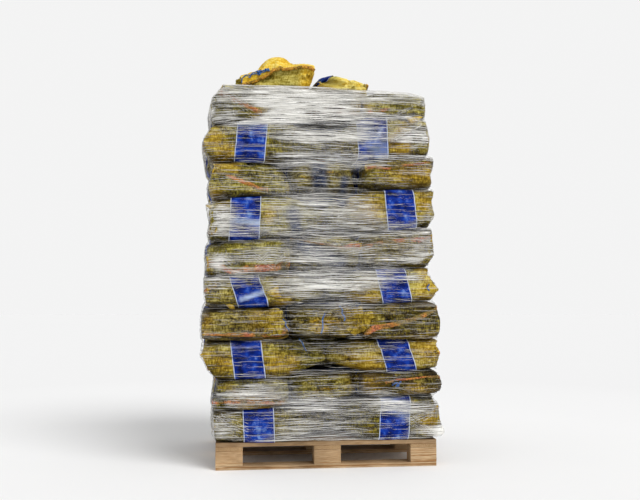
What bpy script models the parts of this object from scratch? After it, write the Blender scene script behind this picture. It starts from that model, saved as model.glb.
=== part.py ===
"""A pallet of net sacks: ten layers of five filled sacks on a block pallet, with two
loose sacks on top and a knitted net wound round the load.

Metres, +Z up. The origin is on the floor under the middle of the pallet, +X runs along
the long side that faces the viewer, and the viewer stands on the -Y side.
"""

import math
import random

import bmesh
import bpy
from mathutils import Vector

# Pallet: 1200 x 1000 mm, nine blocks, seven deck boards on three cross boards.
PALLET_X = 1.200
PALLET_Y = 1.000
BOARD = 0.022
BLOCK_HEIGHT = 0.078
BLOCK_X = 0.145
OUTER_SKID_Y = 0.100
MIDDLE_SKID_Y = 0.145
DECK_BOARDS = 7
DECK_GAP = 0.040
DECK_NOTCH = 0.001
JOINT_GAP = 0.0003
CUT_PAST = 0.020
SKID_TOP = BOARD + BLOCK_HEIGHT
DECK_TOP = SKID_TOP + 2 * BOARD

# Load: where each layer ends, above the deck, from the bottom layer to the top one.
# The load has settled unevenly, so the front left, front right and back differ.
TOPS_FRONT_LEFT = (0.160, 0.333, 0.538, 0.711, 0.885, 1.075, 1.306, 1.507, 1.721, 1.934)
TOPS_FRONT_RIGHT = (0.244, 0.377, 0.548, 0.754, 0.940, 1.162, 1.380, 1.552, 1.784, 1.918)
TOPS_BACK = (0.192, 0.380, 0.576, 0.762, 0.955, 1.142, 1.338, 1.526, 1.719, 1.905)
LAYERS = len(TOPS_BACK)

# How far the sacks of each layer hang over the deck, from the bottom layer to the top one.
OVER_LEFT = (0.033, 0.024, 0.088, 0.087, 0.067, 0.067, 0.050, 0.053, 0.085, 0.048)
OVER_RIGHT = (0.030, 0.051, 0.035, 0.037, 0.040, 0.014, 0.011, 0.010, -0.014, -0.014)
OVER_FRONT = (0.018, 0.026, 0.034, 0.042, 0.030, 0.024, 0.032, 0.036, 0.026, 0.012)
OVER_BACK = (0.016, 0.030, 0.038, 0.030, 0.040, 0.028, 0.034, 0.022, 0.030, 0.010)
OVER_SPREAD = 0.006

# Sacks: a row of two lies along X and is one sack's width deep, a row of three lies
# along Y and is one sack's length deep, and each layer turns the pattern round.
SACK_WIDTH = 0.400
SACK_LENGTH = 0.600
SPLIT_OF_TWO = 0.0
SPLITS_OF_THREE = (-0.205, 0.195)
PLAN_RADIUS = 0.110
SIDE_RADIUS = 0.062
NOMINAL_HEIGHT = 0.192
CORNER_SEGMENTS = 2

# Loose sacks on top: x and y ranges, and the heights of their left and right sides.
LOOSE_LEFT = ((-0.500, -0.045), (-0.430, 0.195), (0.200, 0.238))
LOOSE_RIGHT = ((-0.042, 0.275), (-0.385, 0.225), (0.165, 0.090))

# Net: an open sleeve round the load.
NET_THICKNESS = 0.002
NET_CLEARANCE = 0.0003
NET_SIDES = 24
NET_FOOT = DECK_TOP + 0.004
NET_RISE = 0.006
# Between two layers the net dips this deep, from this far above and below where they meet.
NET_DIP = 0.024
NET_DIP_REACH = 0.034
NET_HEAD_DRAW = 0.010
SEED = 11


def clear_scene():
    """Removes what the scene holds."""
    for old in list(bpy.data.objects):
        bpy.data.objects.remove(old, do_unlink=True)


def new_collection(name, shown=True):
    """A collection in the scene. One that isn't shown holds cutters."""
    collection = bpy.data.collections.new(name)
    bpy.context.scene.collection.children.link(collection)
    collection.hide_render = not shown
    return collection


def material(name, colour, roughness, metallic=0.0, alpha=1.0):
    """A Principled material of one linear colour."""
    made = bpy.data.materials.new(name)
    made.use_nodes = True
    shader = made.node_tree.nodes["Principled BSDF"]
    shader.inputs["Base Color"].default_value = (*colour, 1.0)
    shader.inputs["Roughness"].default_value = roughness
    shader.inputs["Metallic"].default_value = metallic
    shader.inputs["Alpha"].default_value = alpha
    return made


def add_object(name, bm, collection, location=(0, 0, 0), finish=None):
    """An object made from a bmesh, which is then freed."""
    mesh = bpy.data.meshes.new(name)
    bm.to_mesh(mesh)
    bm.free()
    made = bpy.data.objects.new(name, mesh)
    made.location = location
    collection.objects.link(made)
    if finish:
        mesh.materials.append(finish)
    return made


def box(name, low, high, collection, finish=None):
    """A box between two corners, with its origin at its middle."""
    low, high = Vector(low), Vector(high)
    bm = bmesh.new()
    bmesh.ops.create_cube(bm, size=1.0)
    bmesh.ops.scale(bm, vec=high - low, verts=bm.verts)
    return add_object(name, bm, collection, (low + high) / 2, finish)


def cut(body, cutter):
    """Takes a cutter out of a body."""
    cutter.hide_render = True
    cutter.display_type = "WIRE"
    modifier = body.modifiers.new(cutter.name, "BOOLEAN")
    modifier.operation = "DIFFERENCE"
    modifier.solver = "EXACT"
    modifier.object = cutter


def block_edges():
    """The x ranges of the three columns of blocks."""
    outer = PALLET_X / 2
    return (
        (-outer, -outer + BLOCK_X),
        (-BLOCK_X / 2, BLOCK_X / 2),
        (outer - BLOCK_X, outer),
    )


def skid(name, y_low, y_high, collection, cutters, finish):
    """A bottom board with its three blocks."""
    reach = PALLET_X / 2
    body = box(name, (-reach, y_low, 0), (reach, y_high, SKID_TOP), collection, finish)
    columns = block_edges()
    for n, (left, right) in enumerate(zip(columns, columns[1:])):
        window = box(
            f"{name}_window_{n}",
            (left[1], y_low - CUT_PAST, BOARD),
            (right[0], y_high + CUT_PAST, SKID_TOP + CUT_PAST),
            cutters,
        )
        cut(body, window)
    return body


def deck(collection, cutters, finish):
    """Seven deck boards along X, nailed to three cross boards along Y."""
    reach_x, reach_y = PALLET_X / 2, PALLET_Y / 2
    low = SKID_TOP + JOINT_GAP
    seam = DECK_TOP - BOARD
    body = box(
        "deck",
        (-reach_x, -reach_y, low),
        (reach_x, reach_y, DECK_TOP),
        collection,
        finish,
    )
    board_width = (PALLET_Y - (DECK_BOARDS - 1) * DECK_GAP) / DECK_BOARDS
    for n in range(1, DECK_BOARDS):
        gap_start = -reach_y + n * board_width + (n - 1) * DECK_GAP
        gap = box(
            f"deck_gap_{n}",
            (-reach_x - CUT_PAST, gap_start, seam - DECK_NOTCH),
            (reach_x + CUT_PAST, gap_start + DECK_GAP, DECK_TOP + CUT_PAST),
            cutters,
        )
        cut(body, gap)
    columns = block_edges()
    for n, (left, right) in enumerate(zip(columns, columns[1:])):
        bay = box(
            f"deck_bay_{n}",
            (left[1], -reach_y - CUT_PAST, low - CUT_PAST),
            (right[0], reach_y + CUT_PAST, seam),
            cutters,
        )
        cut(body, bay)
    return body


def build_pallet(collection, cutters, finish):
    """The pallet: a deck on three skids that run along X."""
    reach = PALLET_Y / 2
    middle = MIDDLE_SKID_Y / 2
    skid("skid_front", -reach, -reach + OUTER_SKID_Y, collection, cutters, finish)
    skid("skid_middle", -middle, middle, collection, cutters, finish)
    skid("skid_back", reach - OUTER_SKID_Y, reach, collection, cutters, finish)
    deck(collection, cutters, finish)


def layer_plane(n):
    """The plane where layer n ends, as a function of x and y. Layer 0 is the deck."""
    if n == 0:
        return lambda x, y: DECK_TOP
    left, right, back = TOPS_FRONT_LEFT[n - 1], TOPS_FRONT_RIGHT[n - 1], TOPS_BACK[n - 1]
    front = (left + right) / 2
    along_x = (right - left) / PALLET_X
    along_y = (back - front) / PALLET_Y
    return lambda x, y: DECK_TOP + front + along_x * x + along_y * (y + PALLET_Y / 2)


def rounded_block(size):
    """A block of that size with round corners in plan and full, round sides."""
    bm = bmesh.new()
    bmesh.ops.create_cube(bm, size=1.0)
    bmesh.ops.scale(bm, vec=size, verts=bm.verts)
    upright = [e for e in bm.edges if abs((e.verts[0].co - e.verts[1].co).z) > size.z / 2]
    bmesh.ops.bevel(
        bm,
        geom=upright,
        offset=PLAN_RADIUS,
        segments=CORNER_SEGMENTS,
        profile=0.5,
        affect="EDGES",
        clamp_overlap=False,
    )
    level = [e for e in bm.edges if abs((e.verts[0].co - e.verts[1].co).z) < 1e-6]
    bmesh.ops.bevel(
        bm,
        geom=level,
        offset=SIDE_RADIUS,
        segments=CORNER_SEGMENTS,
        profile=0.5,
        affect="EDGES",
        clamp_overlap=False,
    )
    return bm


def sack(name, x_range, y_range, floor, roof, collection, finish):
    """A filled sack between two planes, a hair's breadth clear of whatever it touches."""
    centre = Vector((sum(x_range) / 2, sum(y_range) / 2, 0))
    size = Vector((x_range[1] - x_range[0], y_range[1] - y_range[0], NOMINAL_HEIGHT))
    size -= Vector((JOINT_GAP, JOINT_GAP, 0))
    centre.z = (floor(centre.x, centre.y) + roof(centre.x, centre.y)) / 2
    bm = rounded_block(size)
    for v in bm.verts:
        x, y = v.co.x + centre.x, v.co.y + centre.y
        low, high = floor(x, y) + JOINT_GAP / 2, roof(x, y) - JOINT_GAP / 2
        share = v.co.z / NOMINAL_HEIGHT + 0.5
        v.co.z = low + share * (high - low) - centre.z
    bmesh.ops.recalc_face_normals(bm, faces=bm.faces)
    made = add_object(name, bm, collection, centre, finish)
    made.data.shade_smooth()
    return made


def build_layer(n, chance, collection, finish):
    """Five sacks: a row of two and a row of three, which swap sides from layer to layer."""
    floor, roof = layer_plane(n), layer_plane(n + 1)
    pair_in_front = n % 2 == 0
    reach_x, reach_y = PALLET_X / 2, PALLET_Y / 2
    row_depth = SACK_WIDTH if pair_in_front else SACK_LENGTH
    seam_y = -reach_y + row_depth
    rows = {"front": pair_in_front, "back": not pair_in_front}
    made = []
    for row, is_pair in rows.items():
        splits = (SPLIT_OF_TWO,) if is_pair else SPLITS_OF_THREE
        places = ("left", "right") if is_pair else ("left", "middle", "right")
        edges = (-reach_x, *splits, reach_x)
        for i, place in enumerate(places):
            extra = chance.uniform(-OVER_SPREAD, OVER_SPREAD)
            x_low, x_high = edges[i], edges[i + 1]
            if i == 0:
                x_low -= OVER_LEFT[n] + (extra if row == "back" else 0)
            if i == len(places) - 1:
                x_high += OVER_RIGHT[n] + (extra if row == "back" else 0)
            if row == "front":
                y_low, y_high = -reach_y - OVER_FRONT[n] - extra, seam_y
            else:
                y_low, y_high = seam_y, reach_y + OVER_BACK[n] + extra
            made.append(
                sack(
                    f"sack_{n + 1:02d}_{row}_{place}",
                    (x_low, x_high),
                    (y_low, y_high),
                    floor,
                    roof,
                    collection,
                    finish,
                )
            )
    return made


def build_loose_sacks(collection, finish):
    """Two sacks thrown on top of the load, the right one sloping down to the right."""
    top = layer_plane(LAYERS)
    for name, (x_range, y_range, heights) in (
        ("loose_sack_left", LOOSE_LEFT),
        ("loose_sack_right", LOOSE_RIGHT),
    ):
        slope = (heights[1] - heights[0]) / (x_range[1] - x_range[0])

        def roof(x, y, start=x_range[0], low=heights[0], slope=slope):
            return top(x, y) + low + slope * (x - start)

        sack(name, x_range, y_range, top, roof, collection, finish)


def net_normals():
    """The directions that the net's sides face."""
    step = 2 * math.pi / NET_SIDES
    return [Vector((math.cos(k * step), math.sin(k * step), 0)) for k in range(NET_SIDES)]


def layer_reach(sacks):
    """How far these sacks reach in each of the net's directions."""
    points = [v.co + obj.location for obj in sacks for v in obj.data.vertices]
    return [max(n.dot(p) for p in points) + NET_CLEARANCE for n in net_normals()]


def ring_corners(reach):
    """The corners of the tightest ring of NET_SIDES sides with this reach, in plan."""
    normals = net_normals()
    corners = []
    for k in range(NET_SIDES):
        m = (k + 1) % NET_SIDES
        a, b = normals[k], normals[m]
        cross = a.x * b.y - a.y * b.x
        x = (reach[k] * b.y - reach[m] * a.y) / cross
        y = (a.x * reach[m] - b.x * reach[k]) / cross
        corners.append((x, y))
    return corners


def drawn_in(corners, depth):
    """A ring's corners with its sides drawn in by this depth."""
    reach_x = max(abs(x) for x, y in corners)
    reach_y = max(abs(y) for x, y in corners)
    return [(x * (1 - depth / reach_x), y * (1 - depth / reach_y)) for x, y in corners]


def net_rings(layers):
    """The net's rings from its foot up, as corners and heights. It dips where two layers meet."""
    reaches = [layer_reach(sacks) for sacks in layers]
    rings = [(ring_corners(reaches[0]), lambda x, y: NET_FOOT)]
    for n, reach in enumerate(reaches):
        top = layer_plane(n + 1)
        corners = ring_corners(reach)
        rings.append((corners, lambda x, y, top=top: top(x, y) - NET_DIP_REACH))
        if n + 1 == len(reaches):
            rings.append((drawn_in(corners, NET_HEAD_DRAW), lambda x, y, top=top: top(x, y) + NET_RISE))
            break
        above = reaches[n + 1]
        both = ring_corners([max(r, s) for r, s in zip(reach, above)])
        rings.append((drawn_in(both, NET_DIP), top))
        rings.append((ring_corners(above), lambda x, y, top=top: top(x, y) + NET_DIP_REACH))
    return rings


def build_net(layers, collection, finish):
    """The net sleeve, tight round each layer, which bridges the hollows between its sacks."""
    bm = bmesh.new()
    start = bmesh.ops.create_circle(bm, segments=NET_SIDES, radius=1.0)["verts"]
    ring = sorted(start, key=lambda v: math.atan2(v.co.y, v.co.x) % (2 * math.pi))
    for n, (corners, height) in enumerate(net_rings(layers)):
        if n:
            loop = [e for e in bm.edges if e.verts[0] in ring and e.verts[1] in ring]
            made = bmesh.ops.extrude_edge_only(bm, edges=loop)["geom"]
            fresh = [g for g in made if isinstance(g, bmesh.types.BMVert)]
            ring = [min(fresh, key=lambda f, v=v: (f.co - v.co).length) for v in ring]
        for v, (x, y) in zip(ring, corners):
            v.co = Vector((x, y, height(x, y)))
    bmesh.ops.recalc_face_normals(bm, faces=bm.faces)
    net = add_object("net_wrap", bm, collection, finish=finish)
    shell = net.modifiers.new("thickness", "SOLIDIFY")
    shell.thickness = NET_THICKNESS
    shell.offset = 1.0
    return net


def main():
    clear_scene()
    parts = new_collection("pallet_of_sacks")
    cutters = new_collection("cutters", shown=False)
    wood = material("pine", (0.46, 0.31, 0.17), 0.75)
    netting = material("yellow_netting", (0.42, 0.33, 0.07), 0.65)
    wrap = material("clear_net", (0.80, 0.80, 0.76), 0.35, alpha=0.3)

    build_pallet(parts, cutters, wood)
    chance = random.Random(SEED)
    layers = [build_layer(n, chance, parts, netting) for n in range(LAYERS)]
    build_net(layers, parts, wrap)
    build_loose_sacks(parts, netting)


main()
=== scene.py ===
# %% [markdown]
# # A pallet of net sacks, dressed
# The frame holds plain solids at their real size: fifty stacked sacks, two loose ones, a
# pallet in four parts and a thin sleeve where the wrap net runs. Each cell below turns some
# of them into what the eye sees: lumpy netting, blue bands, sewn hems, gathered mouths,
# hundreds of turns of knitted net and rough sawn pine. Nothing is moved, only replaced.

# %% Load the frame
import math
import random
from functools import partial

import bmesh
import bpy
import numpy as np
from mathutils import Euler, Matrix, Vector, noise
from mathutils.bvhtree import BVHTree


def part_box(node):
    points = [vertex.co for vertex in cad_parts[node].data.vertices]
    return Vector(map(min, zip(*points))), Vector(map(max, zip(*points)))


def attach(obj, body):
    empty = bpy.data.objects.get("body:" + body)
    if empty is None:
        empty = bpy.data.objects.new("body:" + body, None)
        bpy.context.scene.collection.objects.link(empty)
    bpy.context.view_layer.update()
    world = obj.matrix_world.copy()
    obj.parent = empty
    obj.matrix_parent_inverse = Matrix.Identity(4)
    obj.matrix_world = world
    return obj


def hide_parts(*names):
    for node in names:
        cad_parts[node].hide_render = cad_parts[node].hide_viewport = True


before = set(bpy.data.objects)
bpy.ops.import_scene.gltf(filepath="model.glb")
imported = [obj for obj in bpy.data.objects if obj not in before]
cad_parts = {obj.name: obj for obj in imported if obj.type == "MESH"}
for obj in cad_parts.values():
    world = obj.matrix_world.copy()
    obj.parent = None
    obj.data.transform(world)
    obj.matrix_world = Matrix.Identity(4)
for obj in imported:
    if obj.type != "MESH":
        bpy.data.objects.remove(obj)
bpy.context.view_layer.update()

# %% [markdown]
# ## Small tools
# Colours are read off the photograph as sRGB, while shaders work in linear light, so one
# function turns a hex value into what a socket wants. Another adds a shader node with its
# settings and its links in one line, which keeps each material short enough to read.

# %% Colours and nodes
def colour(hex_value):
    """An sRGB hex value as a linear colour with full alpha."""
    parts = [int(hex_value[i:i + 2], 16) / 255 for i in (1, 3, 5)]
    return (*[c / 12.92 if c <= 0.04045 else ((c + 0.055) / 1.055) ** 2.4 for c in parts], 1.0)


def feed(node, inputs):
    """Fills a node's inputs, by place or name: an output is linked, and a value or hex set."""
    for socket, value in inputs.items():
        target = node.inputs[socket.replace("_", " ") if isinstance(socket, str) else socket]
        if isinstance(value, bpy.types.NodeSocket):
            node.id_data.links.new(value, target)
        else:
            target.default_value = colour(value) if isinstance(value, str) else value


def add_node(tree, kind, *inputs, out=0, stops=(), **settings):
    """Adds a node and gives one output. A setting is a property or input, stops are a ramp's."""
    made = tree.nodes.new("ShaderNode" + kind)
    filled = dict(enumerate(inputs))
    for name, value in settings.items():
        if hasattr(made, name):
            setattr(made, name, value)
        else:
            filled[name] = value
    feed(made, filled)
    if stops:
        elements = made.color_ramp.elements
        while len(elements) < len(stops):
            elements.new(0.5)
        for element, (place, hex_value) in zip(elements, stops):
            element.position = place
            element.color = colour(hex_value)
    return made.outputs[out]


def new_material(name, **settings):
    """A Principled material, its shader, and a function that adds a node to it."""
    material = bpy.data.materials.new(name)
    material.use_nodes = True
    shader = material.node_tree.nodes["Principled BSDF"]
    feed(shader, settings)
    return material, shader, partial(add_node, material.node_tree)


# %% [markdown]
# Every finished piece is a mesh whose object sits at the origin. It rides on the load's one
# body, wears one material, and is shaded smooth unless told otherwise.

# %% Adding pieces
def new_object(name, data):
    """An object in the scene."""
    made = bpy.data.objects.new(name, data)
    bpy.context.scene.collection.objects.link(made)
    return made


def add_piece(name, mesh, material, smooth=True):
    """Puts a mesh in the scene as a piece of the object."""
    mesh.name = name
    piece = new_object(name, mesh)
    mesh.materials.append(material)
    if smooth:
        mesh.shade_smooth()
    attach(piece, "root")
    print(name, "has", len(mesh.polygons), "faces")
    return piece


def mesh_from(bm, name):
    """A mesh from a bmesh, which is then freed."""
    mesh = bpy.data.meshes.new(name)
    bm.to_mesh(mesh)
    bm.free()
    return mesh


def mesh_points(mesh):
    """A mesh's vertices as an array."""
    points = np.empty(len(mesh.vertices) * 3)
    mesh.vertices.foreach_get("co", points)
    return points.reshape(-1, 3)


def set_points(mesh, points):
    """Moves a mesh's vertices to an array's points."""
    mesh.vertices.foreach_set("co", np.asarray(points, dtype=float).ravel())
    mesh.update()


def corner_points(mesh):
    """The vertex at each corner of a mesh's faces."""
    index = np.empty(len(mesh.loops), dtype=np.int64)
    mesh.loops.foreach_get("vertex_index", index)
    return index


def add_measures(mesh, **measures):
    """Attributes of a mesh: a number for each point, or one number for all."""
    for name, values in measures.items():
        made = mesh.attributes.new(name, "FLOAT", "POINT")
        made.data.foreach_set("value", np.broadcast_to(values, len(mesh.vertices)).astype(np.float32))


def joined(meshes, name):
    """One mesh from several."""
    bm = bmesh.new()
    for mesh in meshes:
        bm.from_mesh(mesh)
        bpy.data.meshes.remove(mesh)
    return mesh_from(bm, name)


def wobble(points, size, seed):
    """Smooth noise from -1 to 1 at each point. Size is the width of its lumps, in metres."""
    offset = Vector((seed * 7.31, seed * 3.17, seed * 5.53))
    return np.array([noise.noise(Vector(p) / size + offset) for p in points])


def smoothstep(low, high, value):
    """Eases from 0 at low to 1 at high."""
    share = np.clip((value - low) / (high - low), 0, 1)
    return share * share * (3 - 2 * share)


# %% [markdown]
# ## Stage
# The photograph was cut out on a pale grey ground, with a soft shadow to the left. Four
# corners of the load fix the camera: a 47 mm lens four and a half metres off, a little to the
# left, at chest height and tilted up a touch. The floor runs out to the horizon, where it
# meets a band of light of the same tone, so the ground is pale and seamless from every side.

# %% Camera
LOAD_FRONT_Y = -0.5
CAMERA_AZIMUTH = math.radians(-7.0)
CAMERA_DISTANCE = 4.55
CAMERA_HEIGHT = 0.89
CAMERA_PITCH = math.radians(3.6)
CAMERA_TURN = math.radians(0.516)
CAMERA_LENS = 46.9

camera_data = bpy.data.cameras.new("camera")
camera_data.lens = CAMERA_LENS
camera_data.sensor_width = 36
camera = new_object("camera", camera_data)
camera.location = (CAMERA_DISTANCE * math.sin(CAMERA_AZIMUTH),
                   LOAD_FRONT_Y - CAMERA_DISTANCE * math.cos(CAMERA_AZIMUTH), CAMERA_HEIGHT)
camera.rotation_euler = Euler((math.pi / 2 + CAMERA_PITCH, 0, CAMERA_AZIMUTH + CAMERA_TURN))
bpy.context.scene.camera = camera
print("camera at", [round(x, 2) for x in camera.location])

# %% Floor
FLOOR_REACH = 60.0
FLOOR_NEAR, FLOOR_FAR = 1.2, 5.0

floor_material, shader, add = new_material("matt_painted_floor", Roughness=1.0, Specular_IOR_Level=0.0)
place = add("TexCoord", out="Object")
away = add("VectorMath", place, operation="LENGTH", out="Value")
far_share = add("MapRange", away, From_Min=FLOOR_NEAR, From_Max=FLOOR_FAR)
near_tone = add("ValToRGB", add("TexNoise", place, Scale=0.6), stops=[(0.3, "#F5F5F5"), (0.7, "#F7F7F7")])
feed(shader, {"Base Color": add("Mix", data_type="RGBA", Factor=far_share, A=near_tone, B="#EEEEEE",
                                out="Result")})
bm = bmesh.new()
bmesh.ops.create_circle(bm, cap_ends=True, segments=96, radius=FLOOR_REACH)
floor = new_object("floor", mesh_from(bm, "floor"))
floor.data.materials.append(floor_material)

# %% Light
HORIZON_LIGHT, ZENITH_LIGHT = 0.90, 0.55
FADE_START, FADE_END = 0.36, 0.60
SUN_STRENGTH = 1.86
SUN_SPREAD = math.radians(34)
SUN_DIRECTION = (-0.45, 0.62, -0.78)

world = bpy.data.worlds.new("studio")
bpy.context.scene.world = world
world.use_nodes = True
add = partial(add_node, world.node_tree)
rise = add("SeparateXYZ", add("TexCoord", out="Generated"), out="Z")
fade = add("MapRange", rise, From_Min=FADE_START, From_Max=FADE_END, To_Min=HORIZON_LIGHT,
           To_Max=ZENITH_LIGHT)
feed(world.node_tree.nodes["Background"], {"Color": "#FFFFFF", "Strength": fade})
sun_data = bpy.data.lights.new("big_softbox", "SUN")
sun_data.energy = SUN_STRENGTH
sun_data.angle = SUN_SPREAD
sun = new_object("big_softbox", sun_data)
sun.rotation_euler = Vector(SUN_DIRECTION).to_track_quat("-Z", "Y").to_euler()
bpy.context.scene.view_settings.view_transform = "Standard"

# %% [markdown]
# ## Where each sack lies
# A sack's solid is a rounded block between two sloping planes. Its box gives its length and
# width, and the plane through its flat top and bottom faces gives the slopes, so a lumpy sack
# can be made to fill just the same space. Sacks in a row of two lie along X and sacks in a
# row of three along Y, and the rows swap sides from layer to layer.

# %% Cells
OUTER_REACH = np.array([0.55, 0.47])
PROUD = 0.002
SKIN_GAP = 0.0006
FLAT = 0.955
SEWN_MIDDLES = ("sack_10_front_middle", "sack_06_front_middle")


def flat_plane(points, normals, up):
    """The plane z = a x + b y + c through a solid's flat top (up 1) or bottom (up -1)."""
    chosen = points[normals[:, 2] * up > FLAT]
    edge = chosen[:, 2].max() if up > 0 else chosen[:, 2].min()
    chosen = chosen[np.abs(chosen[:, 2] - edge) < 0.08]
    matrix = np.column_stack([chosen[:, 0], chosen[:, 1], np.ones(len(chosen))])
    return np.linalg.lstsq(matrix, chosen[:, 2], rcond=None)[0]


def read_cell(node, along, seed):
    """A sack's space: its middle, half sizes, direction and planes. Along points to its sewn end."""
    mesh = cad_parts[node].data
    corners = mesh_points(mesh)[corner_points(mesh)].reshape(-1, 3, 3)
    normals = np.cross(corners[:, 1] - corners[:, 0], corners[:, 2] - corners[:, 0])
    normals /= np.linalg.norm(normals, axis=1)[:, None] + 1e-12
    points, normals = corners.reshape(-1, 3), np.repeat(normals, 3, axis=0)
    low, high = (np.array([corner.x, corner.y]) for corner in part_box(node))
    half = (high - low) / 2
    return {
        "node": node,
        "seed": seed,
        "middle": (low + high) / 2,
        "pair": abs(along[0]) > 0.5,
        "half": half if abs(along[0]) > 0.5 else half[::-1],
        "along": np.array(along, dtype=float),
        "across": np.array([-along[1], along[0]], dtype=float),
        "top": flat_plane(points, normals, 1),
        "bottom": flat_plane(points, normals, -1),
        "low": low - np.where(low < -OUTER_REACH, PROUD, -SKIN_GAP),
        "high": high + np.where(high > OUTER_REACH, PROUD, -SKIN_GAP),
    }


def sewn_end(node):
    """Which way a stacked sack's sewn end points."""
    layer, row, place = node.split("_")[1:]
    if (row == "front") == (int(layer) % 2 == 1):
        return (-1, 0) if place == "left" else (1, 0)
    outward = -1 if row == "front" else 1
    turned = place == "middle" and node not in SEWN_MIDDLES
    return (0, -outward) if turned else (0, outward)


cells = {}
for seed, node in enumerate(sorted(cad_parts)):
    if node.startswith("sack_"):
        cells[node] = read_cell(node, sewn_end(node), seed)
heights = [c["top"][2] - c["bottom"][2] for c in cells.values()]
print(len(cells), "stacked sacks,", round(min(heights), 3), "to", round(max(heights), 3), "m high")

# %% [markdown]
# ## A bag under pressure
# Two panels of netting sewn together make the bag. Filled, and pressed by its neighbours and
# by the wrap net, it puckers along its seams and crumples at its corners. That is hard to
# draw and easy to simulate: a flat bag, blown up with air pressure inside a lumpy box whose
# walls stand for its neighbours. The cloth shrinks at one end, which draws in the tied mouth.
# Five of these, mirrored and stretched to each sack's space, make the fifty.

# %% Bag grid
BAG_GRID = (44, 30, 1)
BAG_SPACE = (0.600, 0.400, 0.192)
BAG_START = (0.570, 0.370, 0.007)
BAG_COUNT = 5
BAG_FRAMES = 30
BAG_PRESSURE = 9.0
BAG_GROW = 0.30
MOUTH_SHRINK = 0.5
# How much of the mouth's shrinking the sewn end and the two side seams share.
END_SHARE, SIDE_SHARE = 0.14, 0.09
# Bulges of the walls: how far out, and how many to the metre.
WALL_BULGES = ((0.012, 7), (0.006, 17))
WALL_CUTS = 15


def cube_grid(cuts):
    """A cube from -1 to 1 cut into cells, so many along X, Y and Z."""
    bm = bmesh.new()
    bmesh.ops.create_cube(bm, size=2.0)
    for axis, count in enumerate(cuts):
        edges = [e for e in bm.edges if abs((e.verts[1].co - e.verts[0].co)[axis]) > 1e-4]
        if count > 1:
            bmesh.ops.subdivide_edges(bm, edges=edges, cuts=count - 1, use_grid_fill=True)
    return mesh_from(bm, "grid")


bag_mesh = cube_grid(BAG_GRID)
bag_grid = mesh_points(bag_mesh)
bag_row = np.rint((bag_grid[:, 0] + 1) / 2 * BAG_GRID[0]).astype(int)
bag_column = np.rint((bag_grid[:, 1] + 1) / 2 * BAG_GRID[1]).astype(int)
bag_side = (bag_grid[:, 2] > 0).astype(int)
print("bag grid:", len(bag_grid), "points")


# %% Walls and cloth
def make_collider(mesh, name, thickness, friction):
    """A hidden thing for cloth to press or fall on."""
    made = new_object(name, mesh)
    made.modifiers.new("Collision", "COLLISION")
    made.collision.thickness_outer = thickness
    made.collision.cloth_friction = friction
    return made


def lumpy_walls(seed):
    """The inside of a box whose walls bulge here and there, as a collider."""
    bm = bmesh.new()
    bmesh.ops.create_cube(bm, size=2.0)
    bmesh.ops.subdivide_edges(bm, edges=bm.edges, cuts=WALL_CUTS, use_grid_fill=True)
    offset = Vector((seed * 3.3, seed * 1.7, 0))
    for vert in bm.verts:
        facing = Vector([math.copysign(1, c) if abs(c) > 0.999 else 0 for c in vert.co])
        place = Vector([c * size / 2 for c, size in zip(vert.co, BAG_SPACE)])
        bulge = sum(size * noise.noise(place * often + offset) for size, often in WALL_BULGES)
        vert.co = place + facing * bulge
    bmesh.ops.reverse_faces(bm, faces=bm.faces)
    return make_collider(mesh_from(bm, "walls"), "walls", 0.003, 5)


def add_cloth(obj, pressure, bending, frames):
    """Cloth settings for thin knitted netting, with no weight."""
    cloth = obj.modifiers.new("Cloth", "CLOTH")
    settings = cloth.settings
    values = {"quality": 5, "mass": 0.15, "tension_stiffness": 20, "compression_stiffness": 8,
              "shear_stiffness": 4, "bending_stiffness": bending, "use_pressure": pressure > 0,
              "uniform_pressure_force": pressure}
    for name, value in values.items():
        setattr(settings, name, value)
    settings.effector_weights.gravity = 0
    cloth.collision_settings.distance_min = 0.003
    cloth.collision_settings.collision_quality = 2
    cloth.point_cache.frame_end = frames
    return settings


def evaluated_mesh(obj):
    """An object's mesh as its modifiers or its curve's section leave it."""
    return bpy.data.meshes.new_from_object(obj.evaluated_get(bpy.context.evaluated_depsgraph_get()))


def settle(obj, frames):
    """Runs the scene's frames and gives the object's mesh as it then lies."""
    for number in range(1, frames + 1):
        bpy.context.scene.frame_set(number)
    mesh = evaluated_mesh(obj)
    bpy.context.scene.frame_set(1)
    return mesh


# %% Pressing a bag
def pressed_bag(seed):
    """Points of a bag that is blown up inside lumpy walls."""
    plan = np.maximum(np.abs(bag_grid[:, 0]), np.abs(bag_grid[:, 1]))
    points = bag_grid * np.array(BAG_START) / 2
    points[:, 2] *= 1 + 8 * np.sqrt(np.clip(1 - plan, 0, 1))
    points[:, 2] += 0.006 * wobble(points, 0.10, seed)
    mesh = bag_mesh.copy()
    set_points(mesh, points)
    bag = new_object("bag", mesh)
    drawn_in = bag.vertex_groups.new(name="drawn_in")
    weight = np.clip((-bag_grid[:, 0] - 0.80) / 0.2, 0, 1)
    weight = np.maximum(weight, END_SHARE * (bag_grid[:, 0] > 0.97))
    weight = np.maximum(weight, SIDE_SHARE * (np.abs(bag_grid[:, 1]) > 0.95))
    for index, value in enumerate(weight):
        drawn_in.add([index], float(value), "REPLACE")
    walls = lumpy_walls(seed)
    settings = add_cloth(bag, BAG_PRESSURE, 0.05, BAG_FRAMES)
    settings.vertex_group_shrink = "drawn_in"
    settings.shrink_min = -BAG_GROW
    settings.shrink_max = MOUTH_SHRINK
    points = mesh_points(settle(bag, BAG_FRAMES))
    for used in (bag, walls):
        bpy.data.objects.remove(used)
    return points


# %% [markdown]
# Each bag is kept as two sheets of points, an upper and a lower one, that meet in the seam.
# A place on the bag is then a row, a column and a side, so a band or a hem can be cut from
# the same surface later.

# %% Bags as sheets of points
ROUND_POWER = 2.3
SQUARE_POWER = 4.2


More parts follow.
